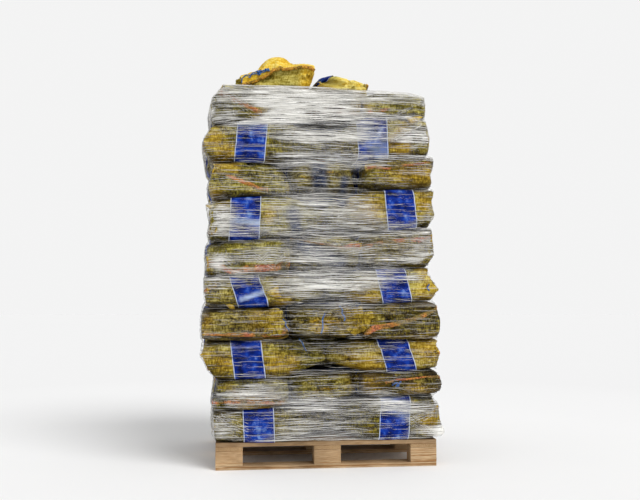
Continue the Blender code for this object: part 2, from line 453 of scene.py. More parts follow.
def squared(unit):
    """Pushes a bag's shoulders out, as weight above and the tight net do."""
    outward = np.abs(unit[:, :2]).max(axis=1)
    height = np.abs(unit[:, 2])
    round_size, square_size = ((outward ** power + height ** power) ** (1 / power)
                               for power in (ROUND_POWER, SQUARE_POWER))
    push = 1 + (round_size / square_size - 1) * smoothstep(-0.8, -0.2, unit[:, 0])
    return np.clip(unit * push[:, None], -1.03, 1.03)


def make_bag(seed):
    """A bag from -1 to 1 with its normals, as [side, row, column]."""
    points = pressed_bag(seed)
    mesh = bag_mesh.copy()
    set_points(mesh, points)
    normals = np.empty(len(points) * 3)
    mesh.vertices.foreach_get("normal", normals)
    bpy.data.meshes.remove(mesh)
    low = np.percentile(points, (0.5, 0.5, 1.5), axis=0).diagonal()
    high = np.percentile(points, (99.5, 99.5, 98.5), axis=0).diagonal()
    unit = squared(np.clip((points - (low + high) / 2) / (high - low) * 2, -1.05, 1.05))
    sheets = np.zeros((2, BAG_GRID[0] + 1, BAG_GRID[1] + 1, 6))
    sheets[bag_side, bag_row, bag_column] = np.hstack([unit, normals.reshape(-1, 3)])
    return sheets


bags = [make_bag(seed) for seed in range(1, BAG_COUNT + 1)]
print("bags:", len(bags))


def on_bag(bag, row, column, side):
    """Place and normal on a bag. Row and column run from -1 to 1, and side is 1 above, 0 below."""
    r = np.clip((row + 1) / 2 * BAG_GRID[0], 0, BAG_GRID[0] - 1e-6)
    c = np.clip((column + 1) / 2 * BAG_GRID[1], 0, BAG_GRID[1] - 1e-6)
    r0, c0 = r.astype(int), c.astype(int)
    dr, dc = (r - r0)[:, None], (c - c0)[:, None]
    near = bag[side, r0, c0] * (1 - dc) + bag[side, r0, c0 + 1] * dc
    far = bag[side, r0 + 1, c0] * (1 - dc) + bag[side, r0 + 1, c0 + 1] * dc
    found = near * (1 - dr) + far * dr
    return found[:, :3], found[:, 3:]


# %% [markdown]
# ## Sacks in their cells
# The filling presses through in lumps, so the bag is pushed out along its normals. The seam
# of a sack seldom lies level: on several ends in view it runs steeply across, and a small
# table gives its height on the left and right as a share of the end's height. Two more give
# how far the load's left and right edges reach at each height: out at each layer's middle, in
# at each seam between layers.

# %% Filling a cell
LUMP, FINE_LUMP = 0.0040, 0.0022
END_SEAMS = {
    "sack_10_front_left": (1.14, -0.40), "sack_10_front_middle": (0.12, 0.16),
    "sack_10_front_right": (0.12, 0.60), "sack_08_front_left": (0.87, -0.19),
    "sack_08_front_right": (0.55, 0.85), "sack_06_front_left": (0.05, 0.08),
    "sack_06_front_right": (0.68, 0.78), "sack_04_front_left": (0.25, 0.04),
    "sack_04_front_right": (0.10, 0.88), "sack_02_front_left": (0.28, 0.11),
    "sack_02_front_right": (0.45, 0.85),
}
NECK_OF_PAIR, NECK_OF_THREE = 0.46, 0.08
chance = random.Random(11)
for node, cell in cells.items():
    cell["bag"] = bags[chance.randrange(BAG_COUNT)]
    cell["mirror"] = chance.choice((-1, 1))
    cell["over"] = chance.choice((0, 1))
    level = chance.uniform(0.3, 0.7)
    slope = chance.uniform(-0.3, 0.3)
    left, right = END_SEAMS.get(node, (level - slope, level + slope))
    cell["seam"] = (left * 2 - 1, right * 2 - 1)
    cell["tint"] = chance.uniform(0, 1)
    cell["neck"] = NECK_OF_PAIR if cell["pair"] else NECK_OF_THREE

# Height, and how far the load reaches there at its front left and front right corners.
LEFT_EDGE = (
    (0.14, -0.601), (0.26, -0.609), (0.36, -0.621), (0.42, -0.598), (0.485, -0.593), (0.55, -0.645),
    (0.61, -0.681), (0.66, -0.665), (0.70, -0.681), (0.81, -0.683), (0.90, -0.661), (1.03, -0.673),
    (1.10, -0.651), (1.17, -0.669), (1.35, -0.627), (1.41, -0.655), (1.457, -0.621), (1.52, -0.656),
    (1.633, -0.611), (1.73, -0.679), (1.77, -0.677), (1.86, -0.625), (1.975, -0.643), (2.01, -0.633),
    (2.035, -0.609), (2.062, -0.563),
)
RIGHT_EDGE = (
    (0.14, 0.640), (0.25, 0.622), (0.36, 0.604), (0.41, 0.630), (0.46, 0.631), (0.51, 0.595),
    (0.616, 0.634), (0.65, 0.590), (0.68, 0.616), (0.80, 0.617), (0.893, 0.580), (0.96, 0.624),
    (1.048, 0.536), (1.15, 0.597), (1.25, 0.580), (1.31, 0.578), (1.373, 0.599), (1.452, 0.574),
    (1.508, 0.600), (1.587, 0.575), (1.655, 0.596), (1.72, 0.571), (1.93, 0.562), (2.05, 0.556),
)
EDGE_SKIN = 0.004
EDGE_KEEP = 0.2
EDGE_SLACK = 0.020


def held_in(points):
    """Draws what reaches past the load's measured edges back to them."""
    for edge, sign in ((LEFT_EDGE, -1), (RIGHT_EDGE, 1)):
        limit = np.interp(points[:, 2], *zip(*edge)) * sign - EDGE_SKIN
        limit = limit + EDGE_SLACK * np.clip(points[:, 1] + 0.5, 0, None)
        past = np.clip(points[:, 0] * sign - limit, 0, None)
        points[:, 0] -= sign * past * (1 - EDGE_KEEP)
    return points


def plane_heights(cell, place, name):
    """How high a cell's top or bottom plane lies over places."""
    return place @ cell[name][:2] + cell[name][2]


def place_in_cell(cell, row, column, side):
    """Points of a sack's surface. Row is along it, column across, side 1 above and 0 below."""
    side = np.where(cell["over"], side, 1 - side)
    unit, normal = on_bag(cell["bag"], row, column * cell["mirror"], side)
    flip = np.array([1, cell["mirror"], 1 if cell["over"] else -1])
    unit, normal = unit * flip, normal * flip
    half = np.array([*cell["half"], BAG_SPACE[2] / 2])
    solid = unit * half
    seed = cell["seed"]
    lumps = LUMP * wobble(solid, 0.085, seed) + FINE_LUMP * wobble(solid, 0.034, seed + 60)
    solid = solid + normal * lumps[:, None]
    x, y, z = (solid / half).T
    neck = smoothstep(0.25, 0.98, -x) * cell["neck"]
    solid = solid * (1 - neck)[:, None] ** np.array([[0, 1, 0]])
    z = z * (1 - 0.8 * neck)
    seam = cell["seam"][0] * (1 - y) / 2 + cell["seam"][1] * (1 + y) / 2
    z = z + seam * np.clip(1 - np.abs(z), 0, 1) * smoothstep(0.3, 0.95, x)
    place = cell["middle"] + solid[:, :1] * cell["along"] + solid[:, 1:2] * cell["across"]
    place = np.clip(place, cell["low"], cell["high"])
    top = plane_heights(cell, place, "top") - SKIN_GAP
    bottom = plane_heights(cell, place, "bottom") + SKIN_GAP
    return held_in(np.column_stack([place, bottom + np.clip(z / 2 + 0.5, 0, 1) * (top - bottom)]))


# %% [markdown]
# ## Netting
# The sacks are knitted from split polypropylene tape, dyed golden yellow. Stretched over the
# filling it thins out, so the dull brown filling shows through and the sack looks olive. Where
# it hangs loose, at the mouth and the corners, it doubles up and looks golden. Four measures on
# each mesh carry this: how loose the netting is; how much it is darkened, by painted shade in
# the seams and creases and on duller sacks, or lightened; how much dark blue-grey, partly
# painted shade, lies in a recess at the mouths; and how brown the filling is. The real tape is
# about 2 mm wide every 4 mm, finer than a pixel, so the weave is drawn as coarser level dashes.

# %% Netting material
DASH_SIZE = 0.0085
TAPE_SIZE = 0.0070
PATCHES_PER_METRE = 9.0

netting, shader, add = new_material("knitted_polypropylene_tape", Roughness=0.55, Sheen_Weight=0.02,
                                    Specular_IOR_Level=0.12)
place = add("TexCoord", out="Object")
loose, hollow, band, tint = (add("Attribute", attribute_name=name, out="Fac")
                             for name in ("loose", "hollow", "band", "tint"))
patches = add("TexNoise", place, Scale=PATCHES_PER_METRE, Detail=6.0, Roughness=0.62)
dashes = add("TexNoise", add("Mapping", place, Scale=(0.16, 0.16, 1.0)), Scale=1 / DASH_SIZE, Detail=2.0,
             Roughness=0.6)
tapes = add("TexNoise", add("Mapping", place, Scale=(1.0, 1.0, 0.3)), Scale=1 / TAPE_SIZE, Detail=1.0)
woven = add("Math", dashes, 1.1, tapes, operation="MULTIPLY_ADD")
spread = add("Math", patches, 1.0, woven, operation="MULTIPLY_ADD")
# Painted shade: the netting darkens where this measure is high, in seams and creases and on duller sacks, and
# lightens where it is negative.
dim = add("Math", hollow, -0.40, spread, operation="MULTIPLY_ADD")
shade = add("MapRange", dim, From_Min=1.065, From_Max=1.865)
calm = add("MapRange", dim, From_Min=0.925, From_Max=2.325)
tight, brown = (add("ValToRGB", shade, stops=list(zip((0.0, 0.30, 0.62, 1.0), tones))) for tones in (
    ("#231E0B", "#4C450E", "#877C28", "#C0B662"), ("#251C0B", "#4A3E12", "#84742E", "#C2B46C")))
slack = add("ValToRGB", calm,
            stops=[(0.15, "#8A6A0C"), (0.40, "#CC9E1E"), (0.60, "#E6C038"), (0.85, "#F8E88C")])
# Dark blue-grey painted shade, mixed in by the band measure, for the recesses where mouths meet, tinted by a
# band seen through.
recess_blue_grey_shade = add("ValToRGB", shade, stops=[(0.2, "#0C1226"), (0.9, "#4A5676")])
tone = add("Mix", data_type="RGBA", Factor=tint, A=tight, B=brown, out="Result")
tone = add("Mix", data_type="RGBA", Factor=loose, A=tone, B=slack, out="Result")
tone = add("Mix", data_type="RGBA", Factor=band, A=tone, B=recess_blue_grey_shade, out="Result")
feed(shader, {"Base Color": tone, "Normal": add("Bump", Height=woven, Strength=0.5, Distance=0.003)})

# %% [markdown]
# The netting is loose at the drawn-in mouth, at the corners, and in golden patches that are
# placed as they lie in view. Some sacks look duller than the rest, and a few creases are pressed
# into the front and darkened with painted shade. Where the mouths meet in a recess the netting is
# painted dark blue-grey: partly a band seen through, partly painted shade.

# %% Marks on the front
FRONT_FACE_Y = -0.36
NET_TOP = 2.0
MOUTH_LOOSE, CORNER_LOOSE, STRAY_LOOSE = 0.6, 0.8, 0.40
CREASE_SHADE, DEEPEST_SHADE = 0.8, 1.5
# Each golden patch: its middle, half width and half height.
GOLDEN = 0.48
GOLDEN_PATCHES = (
    (0.196, 1.969, 0.055, 0.030), (-0.620, 1.772, 0.060, 0.060), (-0.600, 1.640, 0.050, 0.040),
    (0.500, 1.600, 0.200, 0.070), (0.230, 1.400, 0.110, 0.080), (0.530, 1.440, 0.060, 0.070),
    (-0.620, 1.470, 0.050, 0.040), (-0.239, 0.876, 0.050, 0.050), (0.555, 0.960, 0.090, 0.080),
    (-0.330, 0.785, 0.080, 0.080), (0.159, 0.795, 0.090, 0.090), (-0.669, 0.611, 0.060, 0.060),
    (-0.558, 0.568, 0.090, 0.060), (-0.290, 0.560, 0.080, 0.060), (0.197, 0.562, 0.130, 0.070),
    (0.560, 0.640, 0.120, 0.070), (0.229, 0.444, 0.090, 0.060), (0.560, 0.240, 0.060, 0.060),
)
# How much duller than the rest, as a share of the full shade of a seam.
DULL = {
    "sack_01_front_left": 0.45, "sack_01_front_right": 0.45, "sack_02_front_left": 0.55,
    "sack_02_front_middle": 0.20, "sack_02_front_right": 0.80, "sack_03_front_left": 0.20,
    "sack_04_front_left": 0.30, "sack_04_front_middle": 0.25, "sack_04_front_right": 0.60,
    "sack_08_front_left": 0.12, "sack_08_front_right": 0.40, "sack_09_front_left": 0.25,
}
# Each crease: two ends, half width and depth.
CREASES = (
    ((0.545, 1.865), (0.350, 1.765), 0.018, 0.026), ((0.380, 0.730), (0.300, 0.830), 0.012, 0.014),
    ((-0.580, 1.560), (-0.430, 1.590), 0.012, 0.010), ((0.440, 1.270), (0.540, 1.300), 0.012, 0.010),
    ((-0.560, 0.330), (-0.470, 0.300), 0.014, 0.010), ((0.100, 1.330), (0.330, 1.330), 0.012, 0.012),
)
# Each recess painted dark blue-grey, partly a band seen through and partly painted shade: two ends and half
# width.
BLUE_GREY_RECESSES = (
    ((-0.055, 1.670), (-0.045, 1.540), 0.052), ((-0.190, 1.380), (-0.160, 1.240), 0.040),
    ((-0.150, 1.200), (0.060, 1.110), 0.050), ((0.095, 1.560), (0.090, 1.440), 0.030),
)


def bell(points, x, z, width, height):
    """How near each point lies to a place in view, from 1 falling away to 0."""
    return np.exp(-(((points[:, 0] - x) / width) ** 2 + ((points[:, 2] - z) / height) ** 2))


def near_line(points, start, end, width):
    """How near each point of the front lies to a line, from 0 to 1."""
    flat = points[:, [0, 2]]
    line = np.subtract(end, start)
    share = np.clip((flat - start) @ line / (line @ line), 0, 1)
    gap = np.linalg.norm(flat - start - share[:, None] * line, axis=1)
    return np.where(points[:, 1] < FRONT_FACE_Y, np.exp(-(gap / width) ** 4), 0)


def looseness(cell, points):
    """How loose the netting is at each grid point."""
    mouth = smoothstep(0.86, 1.02, -bag_grid[:, 0]) * MOUTH_LOOSE
    corners = smoothstep(1.72, 2.0, np.abs(bag_grid[:, 0]) + np.abs(bag_grid[:, 1])) * CORNER_LOOSE
    stray = smoothstep(0.25, 0.60, wobble(points, 0.16, cell["seed"] + 200)) * STRAY_LOOSE
    golden = GOLDEN * np.max([bell(points, *patch) for patch in GOLDEN_PATCHES], axis=0)
    golden = np.where(points[:, 1] < FRONT_FACE_Y, golden, 0)
    return np.clip(np.max([mouth, corners, stray, golden], axis=0), 0, 1)


def hollowness(cell, points):
    """Painted shade in the seam above or below each sack, plus the sack's dullness, from 0 to 1."""
    top, bottom = (plane_heights(cell, points[:, :2], name) for name in ("top", "bottom"))
    share = (points[:, 2] - bottom) / (top - bottom)
    below = smoothstep(0.26, 0.03, share)
    above = smoothstep(0.86, 0.99, share) * (cell["top"][2] < NET_TOP)
    return np.clip(np.maximum(below, above) + DULL.get(cell["node"], 0), 0, 1)


def creased(points):
    """Presses the creases in, and gives how deep each point lies in one, from 0 to 1."""
    inside = np.zeros(len(points))
    for start, end, width, depth in CREASES:
        dent = near_line(points, start, end, width)
        points[:, 1] += dent * depth
        inside = np.maximum(inside, dent)
    return inside


# %% Stacked sacks
SACK_FILL, LOOSE_FILL = 0.85, 0.6


def sack_points(cell):
    """Every grid point of a sack, in its cell."""
    return place_in_cell(cell, bag_grid[:, 0], bag_grid[:, 1], bag_side)


def add_sack(cell, points, fill, **measures):
    """A sack with these points, as a piece that stands for its solid."""
    mesh = bag_mesh.copy()
    set_points(mesh, points)
    if cell["mirror"] * (1 if cell["over"] else -1) < 0:
        mesh.flip_normals()
    add_measures(mesh, **measures, tint=cell["tint"])
    piece = add_piece(cell["node"] + "_net", mesh, netting)
    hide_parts(cell["node"])
    return piece


sacks = {}
for node, cell in cells.items():
    points = sack_points(cell)
    dents = creased(points)
    # Seams and creases get painted shade, and the recesses at the mouths are painted dark blue-grey.
    sacks[node] = add_sack(cell, points, SACK_FILL, loose=looseness(cell, points),
                           hollow=np.clip(hollowness(cell, points) + CREASE_SHADE * dents, 0, DEEPEST_SHADE),
                           band=np.max([near_line(points, *line) for line in BLUE_GREY_RECESSES], axis=0))

# %% [markdown]
# ## Patches of a sack's surface
# A band or hem is a grid whose points are read off the sack, ironed smooth, and lifted along
# their normals until they lie clear of it.

# %% Patches
def grid_mesh(rows, columns, name):
    """A flat grid mesh, and each vertex's row and column."""
    bm = bmesh.new()
    bmesh.ops.create_grid(bm, x_segments=columns - 1, y_segments=rows - 1, size=1.0)
    mesh = mesh_from(bm, name)
    flat = mesh_points(mesh)
    column = np.rint((flat[:, 0] + 1) / 2 * (columns - 1)).astype(int)
    row = np.rint((flat[:, 1] + 1) / 2 * (rows - 1)).astype(int)
    return mesh, row, column


def smoothed(points):
    """A grid of points with its small creases ironed out, first across and then along."""
    across = points.copy()
    across[:, 1:-1] = (points[:, :-2] + points[:, 1:-1] * 2 + points[:, 2:]) / 4
    both = across.copy()
    both[1:-1] = (across[:-2] + across[1:-1] * 2 + across[2:]) / 4
    return both


def patch_mesh(cell, read, lift, clear=False):
    """A grid of points read off a sack as a mesh that faces outwards, with its rows and columns."""
    points = smoothed(read)
    normals = np.cross(np.gradient(points, axis=0), np.gradient(points, axis=1))
    normals /= np.linalg.norm(normals, axis=2)[:, :, None] + 1e-9
    planes = (cell["top"] + cell["bottom"]) / 2
    inside = np.append(cell["middle"], cell["middle"] @ planes[:2] + planes[2])
    outward = np.sign(np.mean(np.sum(normals * (points - inside), axis=2)))
    if clear:
        lift = lift + np.clip(np.sum((read - points) * normals * outward, axis=2), 0, None)
    points = points + normals * outward * np.asarray(lift)[..., None]
    mesh, row, column = grid_mesh(*read.shape[:2], "patch")
    set_points(mesh, points[row, column])
    if outward > 0:
        mesh.flip_normals()
    return mesh, row, column


# %% [markdown]
# ## Label bands
# A band about 165 mm wide is knitted into each sack, plain royal blue with a white selvedge on
# each side. Its distance from the sewn end and its lean, for the sacks in view, were measured
# in the photograph.

# %% Label bands
LABEL_WIDTH = 0.165
LABEL_ROUND, LABEL_STEPS = 81, 12
LABEL_LIFT = 0.0030
LABEL_LEAN = 0.095
LABEL_FROM_END, LABEL_FROM_END_OF_THREE = 0.235, 0.310
# Width, and how far it stands off, of a band that is seen aslant.
LABEL_SIZES = {"loose_sack_right": (0.075, 0.007)}
FRONT_LABELS = {
    "sack_09_front_left": (0.265, -0.12), "sack_09_front_right": (0.335, 0.05),
    "sack_07_front_left": (0.200, -0.07), "sack_07_front_right": (0.208, 0.14),
    "sack_05_front_left": (0.238, 0.36), "sack_05_front_right": (0.275, 0.28),
    "sack_03_front_left": (0.257, 0.18), "sack_03_front_right": (0.255, 0.36),
    "sack_01_front_left": (0.262, 0.05), "sack_01_front_right": (0.264, -0.09),
    "loose_sack_right": (0.330, -1.0),
}
# Where a band is creased and looks pale: two ends, half width and how pale.
LABEL_FOLDS = (
    ((-0.540, 1.332), (-0.330, 1.316), 0.015, 0.85), ((-0.470, 0.905), (-0.350, 0.945), 0.012, 0.80),
    ((0.180, 1.850), (0.320, 1.700), 0.060, 0.28), ((0.260, 1.770), (0.300, 1.850), 0.010, 0.60),
    ((0.330, 0.350), (0.420, 0.300), 0.045, 0.35), ((-0.505, 1.860), (-0.400, 1.850), 0.016, 0.40),
)


def rows_along(cell, column, side):
    """For each column, how far along the bag each of its rows lies, from -1 to 1."""
    rows = np.linspace(-1, 1, BAG_GRID[0] + 1)
    side = np.where(cell["over"], side, 1 - side)
    spread = np.array([on_bag(cell["bag"], np.full(len(column), r), column * cell["mirror"], side)[0][:, 0]
                       for r in rows])
    return rows, np.maximum.accumulate(spread)


def make_label(cell):
    """The band of one sack: a strip round its section, raised off the netting."""
    usual = LABEL_FROM_END if cell["pair"] else LABEL_FROM_END_OF_THREE
    from_end, lean = FRONT_LABELS.get(cell["node"], (usual, 0.0))
    width, lift = LABEL_SIZES.get(cell["node"], (LABEL_WIDTH, LABEL_LIFT))
    lean *= cell["along"][0]
    turn = (np.linspace(0, 2, LABEL_ROUND) + 0.5) % 2
    side = (turn < 1).astype(int)
    column = np.where(side, turn * 2 - 1, 3 - turn * 2)
    height = np.where(side, 1, -1) * (1 - np.abs(column) ** 3)
    bag_rows, spread = rows_along(cell, column, side)
    shares = np.linspace(-1, 1, LABEL_STEPS + 1)
    read = []
    for share in shares:
        distance = from_end - share * width / 2 + lean * height * LABEL_LEAN
        place = 1 - distance / cell["half"][0]
        row = np.array([np.interp(p, spread[:, i], bag_rows) for i, p in enumerate(place)])
        read.append(place_in_cell(cell, row, column, side))
    mesh, row, column = patch_mesh(cell, np.array(read), lift, clear=True)
    folds = [amount * near_line(mesh_points(mesh), *line) for *line, amount in LABEL_FOLDS]
    add_measures(mesh, fold=np.max(folds, axis=0))
    index = corner_points(mesh)
    band = np.column_stack([(shares[row[index]] + 1) / 2, column[index] / LABEL_ROUND])
    mesh.uv_layers.new(name="band").data.foreach_set("uv", band.ravel())
    return mesh


# %% [markdown]
# The band is woven tape with a blue coating, matt and a little worn, with fine level ribs. Its
# own UV map runs across it, so the selvedges follow it wherever it lies.

# %% Band material
SELVEDGE_FROM = 0.476

band_film, shader, add = new_material("coated_polypropylene_band", Roughness=0.60, Specular_IOR_Level=0.06)
across = add("SeparateXYZ", add("UVMap", uv_map="band"), out="X")
aside = add("Math", add("Math", across, 0.5, operation="SUBTRACT"), operation="ABSOLUTE")
place = add("TexCoord", out="Object")
wear = add("TexNoise", place, Scale=22.0, Detail=6.0)
blue = add("ValToRGB", wear,
           stops=[(0.30, "#040F3C"), (0.48, "#08247C"), (0.60, "#1840A4"), (0.74, "#7496D0")])
selvedge = add("Math", aside, SELVEDGE_FROM, operation="GREATER_THAN")
tone = add("Mix", data_type="RGBA", Factor=selvedge, A=blue, B="#C4D0E6", out="Result")
tone = add("Mix", data_type="RGBA", Factor=add("Attribute", attribute_name="fold", out="Fac"), A=tone,
           B="#B4C8E8", out="Result")
ribs = add("TexWave", place, Scale=60.0, bands_direction="Z", Distortion=1.0, out="Fac")
feed(shader, {"Base Color": tone, "Normal": add("Bump", Height=ribs, Strength=0.25, Distance=0.001)})
labels = add_piece("label_bands", joined([make_label(c) for c in cells.values()], "labels"),
                   band_film)

# %% [markdown]
# ## Hems
# The bottom of each sack is closed by an orange overlock seam, a soft tape of thread about
# 16 mm wide. It follows the sheets' meeting line across the sewn end, so it is read off the
# same rows, from a little above the seam to a little below it.

# %% Hems
HEM_REACH = 0.006
HEM_LIFT, HEM_EDGE_LIFT = 0.0042, 0.0006
HEM_PUCKER, PUCKERS = 0.25, 37
HEM_STEPS = 46
HEM_SPAN = (-0.97, 0.97)
# Where a hem shows only in part, from -1 at the left to 1 at the right.
HEM_SPANS = {
    "sack_10_front_left": (-0.70, 0.90), "sack_08_front_left": (-0.85, 0.35),
    "sack_10_front_right": (-0.90, -0.25), "sack_02_front_right": (-0.50, 0.92),
}


def make_hem(cell):
    """The seam tape across one sack's sewn end."""
    column = np.linspace(*HEM_SPANS.get(cell["node"], HEM_SPAN), HEM_STEPS)
    reach = HEM_REACH / cell["half"][0]
    halfway = ((1 - reach, HEM_EDGE_LIFT), (1 - reach / 3, 0.8 * HEM_LIFT), (1, HEM_LIFT))
    rows = [(row, 1, lift) for row, lift in halfway] + [(row, 0, lift) for row, lift in halfway[::-1]]
    read = np.array([place_in_cell(cell, np.full(HEM_STEPS, row), column, np.full(HEM_STEPS, side))
                     for row, side, _ in rows])
    lift = np.array([lift for _, _, lift in rows])[:, None] * (1 + HEM_PUCKER * np.sin(column * PUCKERS))
    return patch_mesh(cell, read, lift)[0]


def make_hem_material(name, tones):
    """Matt sewing thread in darker and lighter stretches, with a stitched relief."""
    material, shader, add = new_material(name, Roughness=0.75, Specular_IOR_Level=0.3)
    place = add("TexCoord", out="Object")
    stretches = add("TexNoise", place, Scale=16.0, Detail=5.0)
    stitches = add("TexNoise", place, Scale=150.0, Detail=1.0)
    orange = add("ValToRGB", stretches, stops=list(zip((0.38, 0.47, 0.56, 0.66), tones)))
    shade = add("ValToRGB", stitches, stops=[(0.35, "#8A8A8A"), (0.6, "#FFFFFF")])
    tone = add("Mix", data_type="RGBA", blend_type="MULTIPLY", Factor=1.0, A=orange, B=shade, out="Result")
    feed(shader, {"Base Color": tone, "Normal": add("Bump", Height=stitches, Strength=0.7, Distance=0.002)})
    return material


hem_thread = make_hem_material("orange_overlock_thread", ("#8E7838", "#B98238", "#D5883C", "#C4714A"))
hems = add_piece("bottom_hems", joined([make_hem(c) for c in cells.values()], "hems"), hem_thread)

# %% [markdown]
# ## Gathered mouths and ears
# Where a sack's mouth faces out it is tied with a blue string, and the netting beyond the tie
# fans out in pleats. A few corners, drawn out by the net, stand off the sacks as ears. A
# pleated disc and a flattened cone, both crumpled with noise, make them. Each ruff has its
# sack, x, height and radius, and each ear its root, its tip and its half width.

# %% Ruffs and ears
RUFFS = (
    ("sack_04_front_left", -0.300, 0.790, 0.075), ("sack_04_front_middle", 0.165, 0.800, 0.078),
    ("sack_02_front_middle", 0.215, 0.447, 0.070),
)
PLEATS = 3.4
RUFF_DEPTH = 0.022
RUFF_RING = 0.28
EARS = (
    ((-0.600, 1.390), (-0.660, 1.413), 0.024), ((-0.625, 0.590), (-0.684, 0.612), 0.034),
    ((-0.575, 1.600), (-0.622, 1.640), 0.026), ((0.455, 1.895), (0.535, 1.930), 0.030),
    ((0.540, 0.960), (0.600, 0.985), 0.030), ((0.545, 0.190), (0.590, 0.225), 0.028),
    ((-0.600, 0.985), (-0.652, 0.965), 0.030), ((-0.545, 0.910), (-0.505, 0.845), 0.034),
    ((-0.300, 0.965), (-0.250, 0.890), 0.038),
)
EAR_DEPTH = 0.035
front_faces = [c["low"][1] for c in cells.values() if c["low"][1] < -OUTER_REACH[1]]
ear_level = float(np.mean(front_faces)) + EAR_DEPTH


def front_of(node, x, z, reach=0.035):
    """How far forward a sack's surface comes near a place."""
    points = mesh_points(sacks[node].data)
    near = (np.abs(points[:, 0] - x) < reach) & (np.abs(points[:, 2] - z) < reach)
    return points[near, 1].min() if near.any() else points[:, 1].min()


def make_ruff(node, x, z, radius, seed):
    """A mouth's netting beyond the tie: a pleated fan, deepest in the middle."""
    bm = bmesh.new()
    bmesh.ops.create_circle(bm, cap_ends=True, segments=88, radius=radius)
    bmesh.ops.inset_region(bm, faces=bm.faces, thickness=radius * RUFF_RING)
    for _ in range(2):
        middle = min(bm.faces, key=lambda face: face.calc_center_median().length)
        bmesh.ops.inset_region(bm, faces=[middle], thickness=radius * RUFF_RING)
    bmesh.ops.poke(bm, faces=[min(bm.faces, key=lambda face: face.calc_center_median().length)])
    front = front_of(node, x, z)
    for vert in bm.verts:
        share = vert.co.length / radius
        turn = math.atan2(vert.co.y, vert.co.x)
        ring = Vector((math.cos(turn), math.sin(turn), seed * 1.7))
        pleat = 2 * noise.noise(ring * PLEATS + Vector((0, 0, share))) * share
        spread = 1 + (0.45 * noise.noise(ring * 1.3) + 0.22 * noise.noise(ring * 3.1)) * share
        height = 0.75 if vert.co.y > 0 else 1.0
        depth = RUFF_DEPTH * (0.35 + 0.35 * share + 0.3 * pleat * share)
        vert.co = Vector((x + vert.co.x * spread, front - depth, z + vert.co.y * spread * height))
    bmesh.ops.solidify(bm, geom=bm.faces, thickness=0.002)
    bmesh.ops.recalc_face_normals(bm, faces=bm.faces)
    return mesh_from(bm, "ruff")


def make_ear(start, tip, width, seed):
    """A drawn-out corner of netting, from inside the sack to its tip."""
    bm = bmesh.new()
    bmesh.ops.create_cone(bm, cap_ends=True, segments=16, radius1=width, radius2=width * 0.12, depth=1.0)
    along = [e for e in bm.edges if abs(e.verts[0].co.z - e.verts[1].co.z) > 0.5]
    bmesh.ops.subdivide_edges(bm, edges=along, cuts=6, use_grid_fill=True)
    line = Vector((tip[0] - start[0], 0, tip[1] - start[1]))
    across = Vector((-line.z, 0, line.x)).normalized()
    middle = Vector((start[0] + tip[0], 0, start[1] + tip[1])) / 2
    offset = Vector((seed * 2.3, 0, seed))
    for vert in bm.verts:
        crumple = 1 + 0.35 * noise.noise(vert.co * 3 + offset)
        spot = middle + line * vert.co.z + across * vert.co.x * crumple
        vert.co = Vector((spot.x, ear_level + vert.co.y * 0.8 * crumple, spot.z))
    bmesh.ops.recalc_face_normals(bm, faces=bm.faces)
    return mesh_from(bm, "ear")


ruffs = joined([make_ruff(*ruff, seed) for seed, ruff in enumerate(RUFFS)], "ruffs")
ears = joined([make_ear(*ear, seed) for seed, ear in enumerate(EARS)], "ears")
# The ruffs are painted a little darker and the ears a little lighter.
add_measures(ruffs, loose=0.30, hollow=0.30, band=0.0, tint=0.0)
add_measures(ears, loose=0.60, hollow=-0.10, band=0.0, tint=0.0)
gathers = add_piece("gathered_netting", joined([ruffs, ears], "gathers"), netting)

# %% [markdown]
# The drawstrings are thin blue cord. Only their knots and tails show, pressed flat under the
# net, so each is a short tube along a few points, x and height, laid on its sack's front.

# %% Drawstrings
CORD_RADIUS = 0.0042
CORD_ROUNDNESS = 2
CORNER_CUTS = 3
CORD_TAILS = (
    ("sack_04_front_middle",
     ((0.062, 0.872), (0.080, 0.850), (0.070, 0.830), (0.090, 0.812), (0.084, 0.790))),
    ("sack_04_front_middle", ((-0.020, 0.830), (-0.036, 0.800), (-0.030, 0.762), (-0.040, 0.722))),
    ("sack_03_front_left", ((-0.150, 0.690), (-0.134, 0.672), (-0.128, 0.650), (-0.114, 0.628))),
    ("sack_02_front_right", ((0.352, 0.440), (0.376, 0.458), (0.392, 0.440), (0.366, 0.428), (0.400, 0.462))),
    ("sack_04_front_left", ((-0.245, 0.800), (-0.226, 0.786), (-0.230, 0.764), (-0.210, 0.742))),
    ("sack_06_front_right", ((0.560, 0.990), (0.545, 0.970), (0.560, 0.955))),
)


def curve_mesh(name, routes, radii=(), **section):
    """A mesh of tubes along routes. The section is settings of the curve, scaled by any radii."""
    data = bpy.data.curves.new(name, "CURVE")
    data.dimensions = "3D"
    data.use_fill_caps = True
    for key, value in section.items():
        setattr(data, key, value)
    for i, route in enumerate(routes):
        spline = data.splines.new("POLY")
        spline.points.add(len(route) - 1)
        spline.points.foreach_set("co", np.column_stack([route, np.ones(len(route))]).ravel())
        if len(radii):
            spline.points.foreach_set("radius", radii[i])
    curve = new_object(name, data)
    bpy.context.view_layer.update()
    mesh = evaluated_mesh(curve)
    bpy.data.objects.remove(curve)
    return mesh


def tube(points, radius, name):
    """A round tube along points."""
    return curve_mesh(name, [points], bevel_depth=radius, bevel_resolution=CORD_ROUNDNESS)


def rounded_route(points):
    """Points with their corners cut, over and over, until the route is smooth."""
    route = np.array(points, dtype=float)
    for _ in range(CORNER_CUTS):
        near, far = route[:-1] * 0.75 + route[1:] * 0.25, route[:-1] * 0.25 + route[1:] * 0.75
        route = np.vstack([route[:1], np.stack([near, far], axis=1).reshape(-1, route.shape[1]), route[-1:]])
    return route


def make_tail(node, places):
    """One drawstring's visible part, laid on a sack's front."""
    route = rounded_route(places)
    depth = [front_of(node, x, z, 0.02) - CORD_RADIUS * 1.2 for x, z in route]
    depth = np.convolve(np.pad(depth, 3, mode="edge"), np.ones(7) / 7, mode="valid")
    return tube(np.column_stack([route[:, 0], depth, route[:, 1]]), CORD_RADIUS, "tail")


